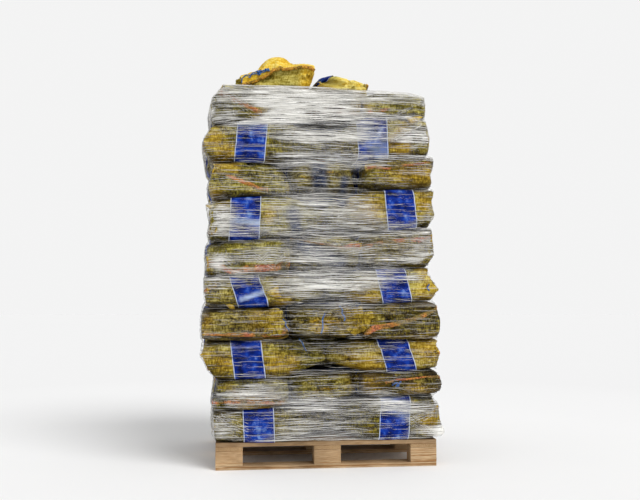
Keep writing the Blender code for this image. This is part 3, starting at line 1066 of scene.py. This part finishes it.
# Braided polypropylene: soft blue fibres, pale where they are scuffed.
cord_braid, shader, add = new_material("braided_polypropylene_cord", Roughness=0.45, Specular_IOR_Level=0.4)
braid = add("TexNoise", add("TexCoord", out="Object"), Scale=260.0, Detail=2.0)
blue = add("ValToRGB", braid, stops=[(0.38, "#0E2C66"), (0.55, "#2A62A8"), (0.75, "#9CC2EA")])
feed(shader, {"Base Color": blue, "Normal": add("Bump", Height=braid, Strength=0.6, Distance=0.0015)})
cords = add_piece("drawstrings", joined([make_tail(*tail) for tail in CORD_TAILS], "cords"),
                  cord_braid)

# %% [markdown]
# ## The wrap net
# A knitted net is wound round the load under tension. At each height it runs straight from
# one furthest point to the next, so it bridges the hollows, and from layer to layer it dips
# into the seams. The sleeve below is that surface: for each height, how far the sacks reach
# in each direction, and from these the radius of the tight band round them.

# %% Sleeve
TURN = 2 * math.pi
SLEEVE_STEP = 0.008
SLEEVE_SLAB = 0.010
SLEEVE_TURNS, FINE_TURNS = 96, 720
SLEEVE_DRAW = 0.019
EASE_ROWS, SLEEVE_EASE = 6, 0.9
HEAD_DRAW = 0.005
HOLLOW_ROWS = 9
NET_LIFT = 0.0018
# The net is caught on the deck's front right corner, where it flares out.
FLARE, FLARE_TURN, FLARE_WIDTH = 0.036, math.radians(-39), math.radians(9)
FLARE_Z, FLARE_HEIGHT = 0.166, 0.044
net_low, net_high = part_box("net_wrap")
NET_FOOT, NET_HEAD = net_low.z + 0.004, net_high.z - 0.006


def sleeve_field():
    """Heights, directions, and how far the load reaches in each direction at each height."""
    points = np.vstack([mesh_points(piece.data) for piece in (*sacks.values(), labels, hems, gathers, cords)])
    turns = np.arange(SLEEVE_TURNS) * TURN / SLEEVE_TURNS
    reach = points[:, :2] @ np.array([np.cos(turns), np.sin(turns)])
    rows = np.arange(NET_FOOT - 0.01, NET_HEAD + 0.03, SLEEVE_STEP)
    order = np.argsort(points[:, 2])
    level = points[order, 2]
    field = np.zeros((len(rows), SLEEVE_TURNS))
    for i, z in enumerate(rows):
        first, last = np.searchsorted(level, [z - SLEEVE_SLAB, z + SLEEVE_SLAB])
        if last > first:
            field[i] = reach[order[first:last]].max(axis=0)
    for i in range(1, len(rows)):
        field[i] = np.maximum(field[i], field[i - 1] - SLEEVE_DRAW)
    for i in range(len(rows) - 2, -1, -1):
        field[i] = np.maximum(field[i], field[i + 1] - SLEEVE_DRAW)
    field -= HEAD_DRAW * smoothstep(NET_HEAD - 0.045, NET_HEAD + 0.005, rows)[:, None] ** 2
    weight = np.exp(-0.5 * (np.arange(-EASE_ROWS, EASE_ROWS + 1) / SLEEVE_EASE) ** 2)
    weight /= weight.sum()
    wider = np.pad(field, ((EASE_ROWS, EASE_ROWS), (0, 0)), mode="edge")
    eased = sum(w * wider[i:i + len(rows)] for i, w in enumerate(weight))
    return rows, turns, np.maximum(field, eased)


def sleeve_radii(rows, turns, field):
    """The radius of the tight band at each height, for many directions."""
    fine = np.arange(FINE_TURNS) * TURN / FINE_TURNS
    gap = np.cos(fine[:, None] - turns[None, :])
    far = np.where(gap > 0.05, 1 / np.maximum(gap, 0.05), np.inf)
    radius = np.array([(row[None, :] * far).min(axis=1) for row in field])
    aside = (fine - FLARE_TURN + math.pi) % TURN - math.pi
    flare = np.exp(-((aside[None, :] / FLARE_WIDTH) ** 2) - ((rows[:, None] - FLARE_Z) / FLARE_HEIGHT) ** 2)
    return radius + FLARE * flare


def sleeve_hollows(radius):
    """How deep the band lies in the seams between layers, from 0 to 1."""
    padded = np.pad(radius, ((HOLLOW_ROWS, HOLLOW_ROWS), (0, 0)), mode="edge")
    widest = np.max([padded[i:i + len(radius)] for i in range(2 * HOLLOW_ROWS + 1)], axis=0)
    return smoothstep(0.004, 0.022, widest - radius)


sleeve_rows, sleeve_turns, sleeve_reach = sleeve_field()
sleeve_radius = sleeve_radii(sleeve_rows, sleeve_turns, sleeve_reach)
sleeve_hollow = sleeve_hollows(sleeve_radius)
print("sleeve radius", round(sleeve_radius.min(), 3), "to", round(sleeve_radius.max(), 3))


def on_sleeve(turn, z, lift=NET_LIFT):
    """Points on the sleeve at these turns, in radians, and heights."""
    row = np.clip((z - sleeve_rows[0]) / SLEEVE_STEP, 0, len(sleeve_rows) - 1.001)
    column = (turn / TURN * FINE_TURNS) % FINE_TURNS
    r0, c0 = row.astype(int), column.astype(int)
    dr, dc = row - r0, column - c0
    c1 = (c0 + 1) % FINE_TURNS
    low = sleeve_radius[r0, c0] * (1 - dc) + sleeve_radius[r0, c1] * dc
    high = sleeve_radius[r0 + 1, c0] * (1 - dc) + sleeve_radius[r0 + 1, c1] * dc
    radius = low * (1 - dr) + high * dr + lift
    return np.column_stack([radius * np.cos(turn), radius * np.sin(turn), z])


# %% [markdown]
# Walking round by equal angles would bunch points where the load is near and spread them at
# the corners. So the walk is by distance: the turn at each step is read from the length
# walked so far round a typical section.

# %% Even steps round the load
ROUND_POINTS = 168
TYPICAL_HEIGHT = 1.1
ring_turns = np.linspace(0, TURN, FINE_TURNS + 1)
ring = on_sleeve(ring_turns, np.full(FINE_TURNS + 1, TYPICAL_HEIGHT))
walked = np.concatenate([[0], np.cumsum(np.linalg.norm(np.diff(ring, axis=0), axis=1))])
net_round = walked[-1]
print("once round the load:", round(net_round, 3), "m")


def turn_at(share):
    """The turn, in radians, after this share of the way round. It may pass 1."""
    whole = np.floor(share)
    return np.interp((share - whole) * net_round, walked, ring_turns) + whole * TURN


# %% [markdown]
# ## How thick and white the net lies
# It was wound closer near the top, across the middle and at the foot, where it looks milky,
# and sparser in between, where the sacks' colours show. A table of heights gives that, and
# patches placed as they lie on the front add to it or take from it; the small strong ones are
# painted highlights. In the seams between layers the net is made less white, as painted shade.
# All this sets the strands' thickness and whiteness, and the fine mesh between them.

# %% Density of the net
MILK_HEIGHTS = (0.14, 0.36, 0.44, 0.55, 0.85, 0.93, 1.05, 1.25, 1.34, 1.55, 1.64, 1.74, 1.90, 2.06)
MILK_SHARES = (0.52, 0.60, 0.24, 0.05, 0.08, 0.40, 0.55, 0.52, 0.42, 0.26, 0.30, 0.58, 0.68, 0.72)
SEAM_SHADE_ON_NET = 0.75
NET_FRONT_Y = -0.40
# Each patch: its middle, half width, half height and how much it adds; the small strong ones are painted
# highlights.
DENSITY_AND_HIGHLIGHT_PATCHES = (
    (-0.154, 1.965, 0.250, 0.075, 0.90), (-0.419, 0.400, 0.190, 0.050, 0.45),
    (-0.433, 1.118, 0.220, 0.050, 0.15), (0.011, 1.050, 0.220, 0.060, 0.18),
    (0.339, 0.350, 0.090, 0.050, 0.40), (-0.423, 1.210, 0.160, 0.040, 0.20),
    (0.470, 1.800, 0.100, 0.050, 0.25), (-0.545, 1.925, 0.020, 0.026, 0.90),
    (0.000, 1.700, 0.300, 0.060, 0.30), (-0.420, 1.730, 0.120, 0.090, -0.75),
    (-0.430, 1.400, 0.110, 0.110, -0.25), (0.400, 1.440, 0.120, 0.100, -0.70),
    (-0.430, 0.900, 0.130, 0.080, -0.75), (0.380, 0.900, 0.120, 0.080, -0.70),
    (-0.600, 1.740, 0.070, 0.070, -0.50), (-0.390, 0.240, 0.110, 0.090, -0.70),
    (0.340, 0.220, 0.110, 0.060, -0.65), (0.560, 0.960, 0.100, 0.060, -0.25),
    (0.500, 0.430, 0.200, 0.050, -0.50), (0.330, 1.750, 0.110, 0.080, -0.15),
    (0.475, 1.025, 0.050, 0.016, 0.80), (0.000, 0.930, 0.240, 0.090, 0.40),
    (0.000, 1.400, 0.260, 0.080, 0.28), (-0.575, 1.350, 0.070, 0.070, 0.60),
    (-0.280, 1.930, 0.110, 0.050, 0.80), (-0.430, 1.940, 0.050, 0.050, -0.40),
    (-0.560, 1.905, 0.100, 0.034, 2.60), (-0.080, 1.848, 0.240, 0.026, -0.42),
    (0.400, 1.930, 0.150, 0.060, 0.15), (-0.080, 1.780, 0.240, 0.060, 0.30),
    (0.040, 0.935, 0.220, 0.050, 0.65), (0.430, 1.170, 0.160, 0.060, 0.20),
    (0.000, 1.140, 0.200, 0.060, 0.05), (-0.450, 1.120, 0.220, 0.080, -0.15),
    (-0.460, 0.380, 0.200, 0.060, -0.05), (0.630, 0.180, 0.060, 0.070, 0.45),
    (-0.460, 1.090, 0.200, 0.016, -0.35), (-0.470, 0.450, 0.170, 0.040, 0.35),
    (0.560, 1.800, 0.080, 0.060, 0.25), (0.170, 0.640, 0.090, 0.050, 0.30),
    (0.000, 0.750, 0.200, 0.060, 0.10), (-0.480, 0.375, 0.140, 0.018, -0.25),
    (0.470, 1.735, 0.050, 0.022, 0.60), (-0.590, 1.110, 0.035, 0.050, 0.50),
)


def milkiness(points):
    """How thick the net lies at these points, with painted highlights and painted seam shade, from 0 to 1."""
    base = np.interp(points[:, 2], MILK_HEIGHTS, MILK_SHARES)
    base = base * (0.80 + 0.45 * wobble(points * [1, 1, 2.5], 0.28, 401))
    front = points[:, 1] < NET_FRONT_Y
    for *patch, amount in DENSITY_AND_HIGHLIGHT_PATCHES:
        base = base + np.where(front, amount * bell(points, *patch), 0)
    turn = np.arctan2(points[:, 1], points[:, 0]) % TURN
    row = np.clip((points[:, 2] - sleeve_rows[0]) / SLEEVE_STEP, 0, len(sleeve_rows) - 1).astype(int)
    column = (turn / TURN * FINE_TURNS).astype(int) % FINE_TURNS
    # Painted shade: the net is made less white, and its strands thinner, in the seams between layers.
    return np.clip(base * (1 - SEAM_SHADE_ON_NET * sleeve_hollow[row, column]), 0.02, 1)


# %% [markdown]
# ## Strands
# The net's long chains run round the load about 14 mm apart, and thin zigzag threads tie each
# to the next. It was wound up the load and down again, so one set climbs and a second falls.
# Each strand is a long spiral, drawn as a curve with a three-sided section, because a round
# one would cost many times the faces for a thread that is half a pixel wide. At the foot and
# the head the strands pile up into a rope.

# %% Thread material
# Clear polyethylene, white where the net lies thick and at painted highlights, with painted glints along its
# length.
thread, shader, add = new_material("knitted_polyethylene_thread", Roughness=0.32, IOR=1.50)
painted_glints = add("TexNoise", add("Mapping", add("TexCoord", out="Object"), Scale=(0.06, 0.06, 1.0)), Scale=70.0,
             Detail=3.0, Roughness=0.6)
painted_glints = add("MapRange", painted_glints, From_Min=0.40, From_Max=0.60, To_Min=-0.38, To_Max=0.42)
milk = add("Attribute", attribute_name="milk", out="Fac")
feed(shader, {"Base Color": "#F8F6F0",
              "Alpha": add("Math", milk, 0.75, painted_glints, operation="MULTIPLY_ADD", use_clamp=True)})

# %% Winding
CLIMB, STRAND_PITCH = 0.098, 0.0140
FALL, SECOND_PITCH = -0.069, -0.0115
STRAND_RADIUS, ZIGZAG_RADIUS = 0.0020, 0.0008
ZIGZAG_STEP = 0.028
PILE = 0.0032
THIN_STRAND, THICKER_WHERE_MILKY = 0.34, 0.80


def sway(points, seed):
    """How far a strand strays up or down from its level."""
    broad = wobble(points * [1, 1, 1.6], 0.36, 301) * 0.0150
    broad = broad + wobble(points * [1, 1, 2.0], 0.15, 302) * 0.0060
    return broad + wobble(points * [1, 1, 9.0], 0.090, seed % 7 + 310) * 0.0055


def spiral(start, climb, seed, step_share, zigzag):
    """Points of a strand that starts at a height and climbs so much each time round."""
    turns_needed = (NET_HEAD - NET_FOOT) / abs(climb) + 1.2
    share = np.arange(int(turns_needed / step_share)) * step_share
    z = start + climb * share
    inside = (z > NET_FOOT - abs(climb) * 0.5) & (z < NET_HEAD + abs(climb) * 0.5)
    share, z = share[inside], z[inside]
    turn = turn_at(share)
    z = z + sway(on_sleeve(turn, np.clip(z, NET_FOOT, NET_HEAD)), seed)
    z = z + zigzag * (np.arange(len(z)) % 2)
    pile = PILE * np.sin(share * 40 + seed)
    z = np.clip(z, NET_FOOT + pile + 0.003, NET_HEAD + pile - 0.003)
    lift = NET_LIFT + STRAND_RADIUS * (0.5 + 0.5 * np.sin(share * 23 + seed * 2.1))
    return on_sleeve(turn, z, lift)


def add_strands(name, routes, radius, least=0.0):
    """Strands along routes as a piece, thicker and whiter where the net lies thick and at painted highlights.
    """
    section = bpy.data.curves.new(name + "_section", "CURVE")
    corners = section.splines.new("POLY")
    corners.points.add(2)
    for i, point in enumerate(corners.points):
        point.co = (radius * math.cos(i * TURN / 3), radius * math.sin(i * TURN / 3), 0, 1)
    corners.use_cyclic_u = True
    profile = new_object(name + "_section", section)
    radii = [THIN_STRAND + THICKER_WHERE_MILKY * np.maximum(milkiness(route), least) for route in routes]
    mesh = curve_mesh(name + "_curve", routes, radii, bevel_mode="OBJECT", bevel_object=profile)
    bpy.data.objects.remove(profile)
    add_measures(mesh, milk=np.maximum(milkiness(mesh_points(mesh)), least))
    return add_piece(name, mesh, thread)


for name, climb, pitch, first_seed, step_share, zigzag, radius in (
        ("net_strands_climbing", CLIMB, STRAND_PITCH, 0, 1 / ROUND_POINTS, 0.0, STRAND_RADIUS),
        ("net_strands_falling", FALL, SECOND_PITCH, 20, 1 / ROUND_POINTS, 0.0, STRAND_RADIUS),
        ("net_zigzags", CLIMB, STRAND_PITCH, 0, ZIGZAG_STEP / net_round, STRAND_PITCH, ZIGZAG_RADIUS)):
    start = (NET_FOOT if climb > 0 else NET_HEAD) - climb * 0.5
    add_strands(name, [spiral(start + i * pitch, climb, first_seed + i, step_share, zigzag)
                       for i in range(round(climb / pitch))], radius)

# %% [markdown]
# Here and there the net is tucked: it was pulled slantwise as it went on, and threads bunch
# into pale lines that cross the rest. Each tuck is a fan of threads between two places on the
# front, and the table gives both, how far the threads spread at each, and how many there are.

# %% Tucks
TUCKS = (
    ((0.516, 1.985), (0.400, 1.935), 0.004, 0.016, 3), ((0.545, 1.880), (0.345, 1.780), 0.003, 0.008, 3),
    ((0.505, 1.755), (0.455, 1.735), 0.016, 0.020, 3), ((-0.390, 1.085), (-0.330, 1.145), 0.030, 0.030, 3),
    ((-0.400, 1.135), (-0.300, 1.085), 0.024, 0.024, 3), ((-0.290, 1.090), (-0.235, 1.150), 0.014, 0.014, 2),
    ((0.050, 1.335), (0.058, 1.410), 0.004, 0.012, 2), ((0.020, 1.345), (0.120, 1.375), 0.008, 0.012, 3),
    ((-0.620, 0.285), (-0.430, 0.215), 0.030, 0.060, 5), ((-0.625, 0.240), (-0.480, 0.200), 0.015, 0.050, 4),
    ((0.600, 0.165), (0.440, 0.270), 0.010, 0.080, 6), ((0.590, 0.290), (0.430, 0.235), 0.030, 0.050, 4),
    ((-0.552, 1.940), (-0.538, 1.890), 0.006, 0.012, 2), ((-0.570, 1.905), (-0.520, 1.925), 0.006, 0.010, 2),
    ((-0.640, 1.180), (-0.520, 1.100), 0.040, 0.060, 4), ((-0.600, 2.030), (-0.420, 1.930), 0.020, 0.080, 5),
)
TUCK_STEPS = 22
TUCK_RADIUS = 0.0010
TUCK_MILK = 0.70
TUCK_BEND = 0.008


def tuck_routes(start, end, spread_start, spread_end, count, seed):
    """The fan of threads of one tuck, each a little crooked, laid on the sleeve."""
    share = np.linspace(0, 1, TUCK_STEPS)
    line = np.outer(1 - share, start) + np.outer(share, end)
    spread = spread_start * (1 - share) + spread_end * share
    turn = np.arctan2(LOAD_FRONT_Y - 0.03, line[:, 0]) % TURN
    routes = []
    for place in np.linspace(-0.5, 0.5, count):
        bend = TUCK_BEND * wobble(np.column_stack([line, np.full(TUCK_STEPS, place * 3)]), 0.05, seed)
        routes.append(on_sleeve(turn, line[:, 1] + place * spread + bend, NET_LIFT + STRAND_RADIUS))
    return routes


add_strands("net_tucks", [route for seed, tuck in enumerate(TUCKS) for route in tuck_routes(*tuck, seed)],
            TUCK_RADIUS, TUCK_MILK)

# %% [markdown]
# ## The fine mesh
# Between the chains lies a mesh of threads far finer than a pixel. It is one open sleeve whose
# alpha comes from the same density and painted highlights, broken into long level streaks, so it
# veils the sacks where the net lies thick. The gaps between the threads look dark, because the net
# shades what lies under it, and the low end of the same streaks draws them.

# %% Fine mesh
HAZE = 0.62
VEIL_ROUND, VEIL_ROWS = 190, 200

fine_mesh, shader, add = new_material("fine_knitted_mesh", Roughness=0.34, IOR=1.50)
milk = add("Attribute", attribute_name="milk", out="Fac")
drawn_level = add("Mapping", add("TexCoord", out="Object"), Scale=(0.035, 0.035, 1.0))
streaks = add("TexNoise", drawn_level, Scale=145.0, Detail=4.0, Roughness=0.62, Distortion=0.3)
level = add("Math", milk, 0.32, streaks, operation="MULTIPLY_ADD")
white = add("MapRange", level, From_Min=0.71, From_Max=0.81, To_Max=0.95)
gap = add("MapRange", streaks, From_Min=0.45, From_Max=0.36, To_Max=0.62)
haze = add("MapRange", milk, From_Min=0.18, From_Max=0.80, To_Max=HAZE)
gap_tone = add("ValToRGB", milk, stops=[(0.15, "#1F190A"), (0.55, "#202028")])
thread_tone = add("ValToRGB", level, stops=[(0.66, "#A2A3A8"), (0.75, "#F6F5F1")])
is_thread = add("ValToRGB", streaks, stops=[(0.44, "#000000"), (0.47, "#FFFFFF")])
feed(shader, {
    "Base Color": add("Mix", data_type="RGBA", Factor=is_thread, A=gap_tone, B=thread_tone, out="Result"),
    "Alpha": add("Math", add("Math", white, gap, operation="MAXIMUM"), haze, operation="MAXIMUM"),
})

mesh, row, column = grid_mesh(VEIL_ROWS, VEIL_ROUND, "fine_mesh")
height = NET_FOOT + 0.002 + (NET_HEAD - NET_FOOT - 0.004) * row / (VEIL_ROWS - 1)
set_points(mesh, on_sleeve(turn_at(column / (VEIL_ROUND - 1) * (1 - 1e-9)), height, NET_LIFT - 0.001))
add_measures(mesh, milk=milkiness(mesh_points(mesh)))
mesh.flip_normals()
veil = add_piece("net_fine_mesh", mesh, fine_mesh)
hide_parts("net_wrap")

# %% [markdown]
# ## The loose sacks
# Two part-filled sacks were thrown on top once the load was wound. The right one slumps down
# to one side. The left one is only half full: its empty upper half is folded back over the
# rest, so its golden netting lies double, and its rolled orange hem runs along the front. The
# folded half is simulated as cloth that falls over the filled half and over a lump in it.

# %% Filled part of the loose sacks
FOLD_ROOM = 0.080
LOOSE_SEED = 90


def make_loose(node, along, seam, loose_share, bright, lower=0.0, slope=0.0, undercut=0.0):
    """The filled body of a loose sack. Its netting is golden where it is loose, and at its right end."""
    cell = read_cell(node, along, LOOSE_SEED + len(node))
    cell.update(bag=bags[1], mirror=1, over=1, seam=seam, tint=0.1, neck=0.1)
    cell["top"] = cell["top"] + [slope, 0, -lower - slope * cell["middle"][0]]
    cell["low"], cell["high"] = cell["low"] - 0.005, cell["high"] + 0.005
    points = sack_points(cell)
    below = (points[:, 2].max() - points[:, 2]) / np.ptp(points[:, 2])
    aside = (points[:, 0] - cell["middle"][0]) / cell["half"][1]
    points[:, 0] -= undercut * below * smoothstep(0.4, 1.0, aside)
    loose = smoothstep(-0.4, 0.4, wobble(points, 0.11, 77)) * loose_share
    flap = smoothstep(cell["high"][0] - 0.13, cell["high"][0] - 0.08, points[:, 0])
    piece = add_sack(cell, points, LOOSE_FILL, loose=np.maximum(loose, flap * 0.9), hollow=-bright, band=0.0)
    return piece, cell


loose_left, _ = make_loose("loose_sack_left", (0, -1), seam=(0.1, 0.2), loose_share=0.20, bright=0.35,
                           lower=FOLD_ROOM, slope=0.10, undercut=0.055)
_, right_cell = make_loose("loose_sack_right", (1, 0), seam=(0.0, -0.6), loose_share=0.80, bright=1.0)

# %% Folded half of the left sack
FOLD_SIZE = (0.49, 0.47)
FOLD_CELLS = (50, 40)
FOLD_MIDDLE = (-0.275, -0.232)
FOLD_START = 0.230
FOLD_FRAMES, QUICK_FRAMES = 26, 3
FOLD_LUMP = (0.095, 0.130, 0.095)
FOLD_LUMP_PLACE = (-0.262, -0.215, net_high.z + 0.132)
FOLD_SKIN, FOLD_GRIP = 0.004, 20

mesh, fold_row, fold_column = grid_mesh(FOLD_CELLS[1] + 1, FOLD_CELLS[0] + 1, "fold")
flat = np.column_stack([
    FOLD_MIDDLE[0] + (fold_column / FOLD_CELLS[0] - 0.5) * FOLD_SIZE[0],
    FOLD_MIDDLE[1] + (fold_row / FOLD_CELLS[1] - 0.5) * FOLD_SIZE[1],
    np.full(len(fold_row), net_high.z + FOLD_START),
])
flat[:, 2] += 0.010 * wobble(flat, 0.09, 5)
set_points(mesh, flat)
fall = new_object("fold", mesh)
bm = bmesh.new()
bmesh.ops.create_uvsphere(bm, u_segments=20, v_segments=12, radius=1.0)
bmesh.ops.scale(bm, vec=FOLD_LUMP, verts=bm.verts)
bmesh.ops.translate(bm, vec=FOLD_LUMP_PLACE, verts=bm.verts)
body = make_collider(loose_left.data.copy(), "body", FOLD_SKIN, FOLD_GRIP)
lump = make_collider(mesh_from(bm, "lump"), "lump", FOLD_SKIN, FOLD_GRIP)
settings = add_cloth(fall, 0.0, 0.15, FOLD_FRAMES)
settings.effector_weights.gravity = 1.0
settings.mass = 0.2
settings.air_damping = 2
fold_mesh = settle(fall, FOLD_FRAMES)
for used in (fall, body, lump):
    bpy.data.objects.remove(used)
fold_points = mesh_points(fold_mesh)
add_measures(fold_mesh, loose=1.0, hollow=-0.6, tint=0.0, band=0.0)
fold = add_piece("loose_sack_left_fold", fold_mesh, netting)

# %% [markdown]
# The fold's hem is rolled: a soft tube along the sheet's front edge. The right sack's band and
# hem are read off its own surface.

# %% Trim of the loose sacks
ROLL_RADIUS = 0.009
ROLL_SHIFT = (0, -0.002, 0.002)

front_edge = fold_points[fold_row == 0][np.argsort(fold_column[fold_row == 0])]
roll = tube(front_edge + ROLL_SHIFT, ROLL_RADIUS, "roll")
clean_thread = make_hem_material("clean_overlock_thread", ("#A8842E", "#CF9A34", "#DFA43C", "#C87A42"))
add_piece("loose_hems", joined([roll, make_hem(right_cell)], "loose_hems"), clean_thread)
add_piece("loose_label_band", make_label(right_cell), band_film)

# %% [markdown]
# The left sack's drawstring lies in a loop at the left of the fold, with two knots beside it.
# Its points, read in the photograph, are brought to the nearest place on the fold.

# %% Drawstring of the fold
LOOP = (
    (-0.480, 2.110), (-0.476, 2.150), (-0.450, 2.180), (-0.415, 2.205), (-0.375, 2.210), (-0.340, 2.190),
    (-0.372, 2.172), (-0.415, 2.165), (-0.445, 2.135),
)
KNOTS = ((-0.335, 2.215), (-0.385, 2.195))
KNOT_SIZE = 0.013
VIEWED_FROM_Y = -0.45
fold_tree = BVHTree.FromPolygons([v.co for v in fold_mesh.vertices], [p.vertices for p in fold_mesh.polygons])


def laid_on_fold(x, z):
    """The nearest place on the fold's front to a place in view, a cord's radius off it."""
    place, normal = fold_tree.find_nearest(Vector((x, VIEWED_FROM_Y, z)))[:2]
    outward = normal if normal.y < 0 else -normal
    return np.array(place + outward * CORD_RADIUS)


def make_knot(x, z, seed):
    """A knot: a cord's turns round each other, pulled tight."""
    turn = np.linspace(0, TURN, 40)
    trefoil = np.column_stack([np.sin(turn) + 2 * np.sin(2 * turn), np.cos(turn) - 2 * np.cos(2 * turn),
                               -1.2 * np.sin(3 * turn)]) / 3 * KNOT_SIZE
    spin = np.array(Euler((seed, seed * 2, seed * 3)).to_matrix())
    return tube(laid_on_fold(x, z) + trefoil @ spin.T, CORD_RADIUS, "knot")


loop = tube(np.array([laid_on_fold(x, z) for x, z in rounded_route(LOOP)]), CORD_RADIUS * 0.75, "loop")
knots = [make_knot(x, z, seed) for seed, (x, z) in enumerate(KNOTS)]
add_piece("loose_drawstring", joined([loop, *knots], "loose_drawstring"), cord_braid)

# %% [markdown]
# ## The pallet
# It doesn't show in the photograph, so it is a usual block pallet of rough sawn pine: each
# skid a bottom board with three blocks, and a deck of seven boards nailed to three cross
# boards. Sawn edges are a little broken, faces are a little uneven, and each is cut from
# another log, so the ring pattern inside the wood is centred elsewhere for each.

# %% Boards
BOARD = 0.022
DECK_BOARDS = 7
DECK_GAP = 0.040
SAWN_EDGE = 0.0018
JOINT = 0.0003
SAW_MARKS = 0.0007
SHRINKAGE = 0.0012


def make_board(low, high, seed):
    """A sawn board or block between two corners, with broken edges and slightly uneven faces."""
    size = Vector(high) - Vector(low)
    middle = (Vector(high) + Vector(low)) / 2
    bm = bmesh.new()
    bmesh.ops.create_cube(bm, size=1.0)
    bmesh.ops.scale(bm, vec=size, verts=bm.verts)
    longest = max(range(3), key=lambda axis: size[axis])
    along = [e for e in bm.edges if abs((e.verts[1].co - e.verts[0].co)[longest]) > size[longest] * 0.9]
    if size[longest] > 0.5:
        bmesh.ops.subdivide_edges(bm, edges=along, cuts=14, use_grid_fill=True)
    sharp = [e for e in bm.edges if e.calc_face_angle(0) > 1.0]
    bmesh.ops.bevel(bm, geom=sharp, offset=SAWN_EDGE, offset_type="OFFSET", affect="EDGES",
                    segments=2, profile=0.5, material=-1)
    offset = Vector((seed * 3.7, seed * 1.9, seed * 0.7))
    for vert in bm.verts:
        rough = noise.noise(vert.co * 9 + offset) * SAW_MARKS
        vert.co = middle + vert.co * (1 - SHRINKAGE) + Vector((0, rough, 0))
    mesh = mesh_from(bm, "board")
    log = random.Random(seed)
    centre = mesh.attributes.new("log_centre", "FLOAT_VECTOR", "POINT")
    away = (log.uniform(-0.3, 0.3), middle.y + log.uniform(-0.07, 0.07), middle.z - log.uniform(0.02, 0.10))
    centre.data.foreach_set("vector", np.tile(away, len(mesh.vertices)))
    add_measures(mesh, shade=log.uniform(0, 1))
    return mesh


# %% [markdown]
# Wood is rings. A wave texture in rings about each board's own log centre gives lines along
# its faces and arcs on its ends from one pattern, as in sawn timber. Noise stretched along
# the length gives the fibres, and slow noise the stains of use. The nails are bright steel,
# dulled brown in spots.

# %% Pine and nail steel
RINGS_PER_METRE, FIBRES_PER_METRE = 55.0, 320.0


def make_pine(name, axis, dark, light):
    """Rough sawn pine with its grain along one axis."""
    material, shader, add = new_material(name, Roughness=0.82, Specular_IOR_Level=0.25)
    place = add("TexCoord", out="Object")
    centre = add("Attribute", attribute_name="log_centre", out="Vector")
    inside = add("VectorMath", place, centre, operation="SUBTRACT")
    grain = add("Mapping", inside, Scale=(0.06, 1, 1) if axis == "X" else (1, 0.06, 1))
    rings = add("TexWave", grain, wave_type="RINGS", rings_direction=axis, Scale=RINGS_PER_METRE,
                Distortion=2.5, Detail=2.0, Detail_Scale=2.0, out="Fac")
    fibres = add("TexNoise", grain, Scale=FIBRES_PER_METRE, Detail=3.0)
    stains = add("TexNoise", place, Scale=4.5, Detail=6.0)
    tone = add("ValToRGB", rings, stops=[(0.0, light), (0.6, light), (0.95, dark)])
    for source, stops, amount in ((fibres, [(0.3, "#B8A890"), (0.6, "#FFFFFF")], 0.7),
                                  (stains, [(0.35, "#8F8577"), (0.62, "#FFFFFF")], 0.55)):
        tone = add("Mix", data_type="RGBA", blend_type="MULTIPLY", Factor=amount, A=tone,
                   B=add("ValToRGB", source, stops=stops), out="Result")
    shade = add("Attribute", attribute_name="shade", out="Fac")
    tone = add("HueSaturation", Value=add("MapRange", shade, To_Min=0.82, To_Max=1.12), Color=tone)
    feed(shader, {"Base Color": tone, "Normal": add("Bump", Height=fibres, Strength=0.5, Distance=0.0012)})
    return material


pine_long = make_pine("rough_sawn_pine_along", "X", "#A97F52", "#CDB08A")
pine_cross = make_pine("rough_sawn_pine_across", "Y", "#A57C50", "#C6A981")
nail_steel, shader, add = new_material("bright_nail_steel", Roughness=0.45, Metallic=1.0)
spots = add("TexNoise", add("TexCoord", out="Object"), Scale=300.0)
feed(shader, {"Base Color": add("ValToRGB", spots, stops=[(0.4, "#5B4A3C"), (0.7, "#A09A92")])})

# %% Skids and deck
BLOCK_PLACES = ((-0.600, -0.455), (-0.0725, 0.0725), (0.455, 0.600))
NAIL_FROM_EDGE = 0.045
NAIL_HEAD = {"radius1": 0.0042, "radius2": 0.0034, "depth": 0.0016}
SKID_SEED, CROSS_SEED, DECK_SEED = 40, 60, 70


def add_wood(name, boards, material, node=None):
    """Boards joined as one piece, flat shaded, which may stand for a solid."""
    piece = add_piece(name, joined(boards, name), material, smooth=False)
    if node:
        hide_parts(node)


for i, node in enumerate(("skid_front", "skid_middle", "skid_back")):
    low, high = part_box(node)
    seed = SKID_SEED + i * 5
    add_wood(node + "_sawn", [make_board((low.x, low.y, 0), (high.x, high.y, BOARD - JOINT), seed)] + [
        make_board((start, low.y, BOARD), (end, high.y, high.z - JOINT), seed + block + 1)
        for block, (start, end) in enumerate(BLOCK_PLACES)], pine_long, node)

low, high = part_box("deck")
board_width = (high.y - low.y - (DECK_BOARDS - 1) * DECK_GAP) / DECK_BOARDS
fronts = [low.y + i * (board_width + DECK_GAP) for i in range(DECK_BOARDS)]
add_wood("deck_cross_boards", [
    make_board((start, low.y, low.z), (end, high.y, high.z - BOARD - JOINT), CROSS_SEED + i)
    for i, (start, end) in enumerate(BLOCK_PLACES)], pine_cross)
add_wood("deck_boards", [
    make_board((low.x, front, high.z - BOARD), (high.x, front + board_width, high.z), DECK_SEED + i)
    for i, front in enumerate(fronts)], pine_long, "deck")

# Nail heads, sunk a hair into the boards: two to a crossing, set aslant of each other.
bm = bmesh.new()
for front in fronts:
    for start, end in BLOCK_PLACES:
        for x, share in ((start + NAIL_FROM_EDGE, 0.3), (end - NAIL_FROM_EDGE, 0.7)):
            nail = bmesh.ops.create_cone(bm, cap_ends=True, segments=12, **NAIL_HEAD)
            place = (x, front + board_width * share, high.z + 0.0002)
            bmesh.ops.translate(bm, vec=place, verts=nail["verts"])
add_piece("deck_nails", mesh_from(bm, "nails"), nail_steel)
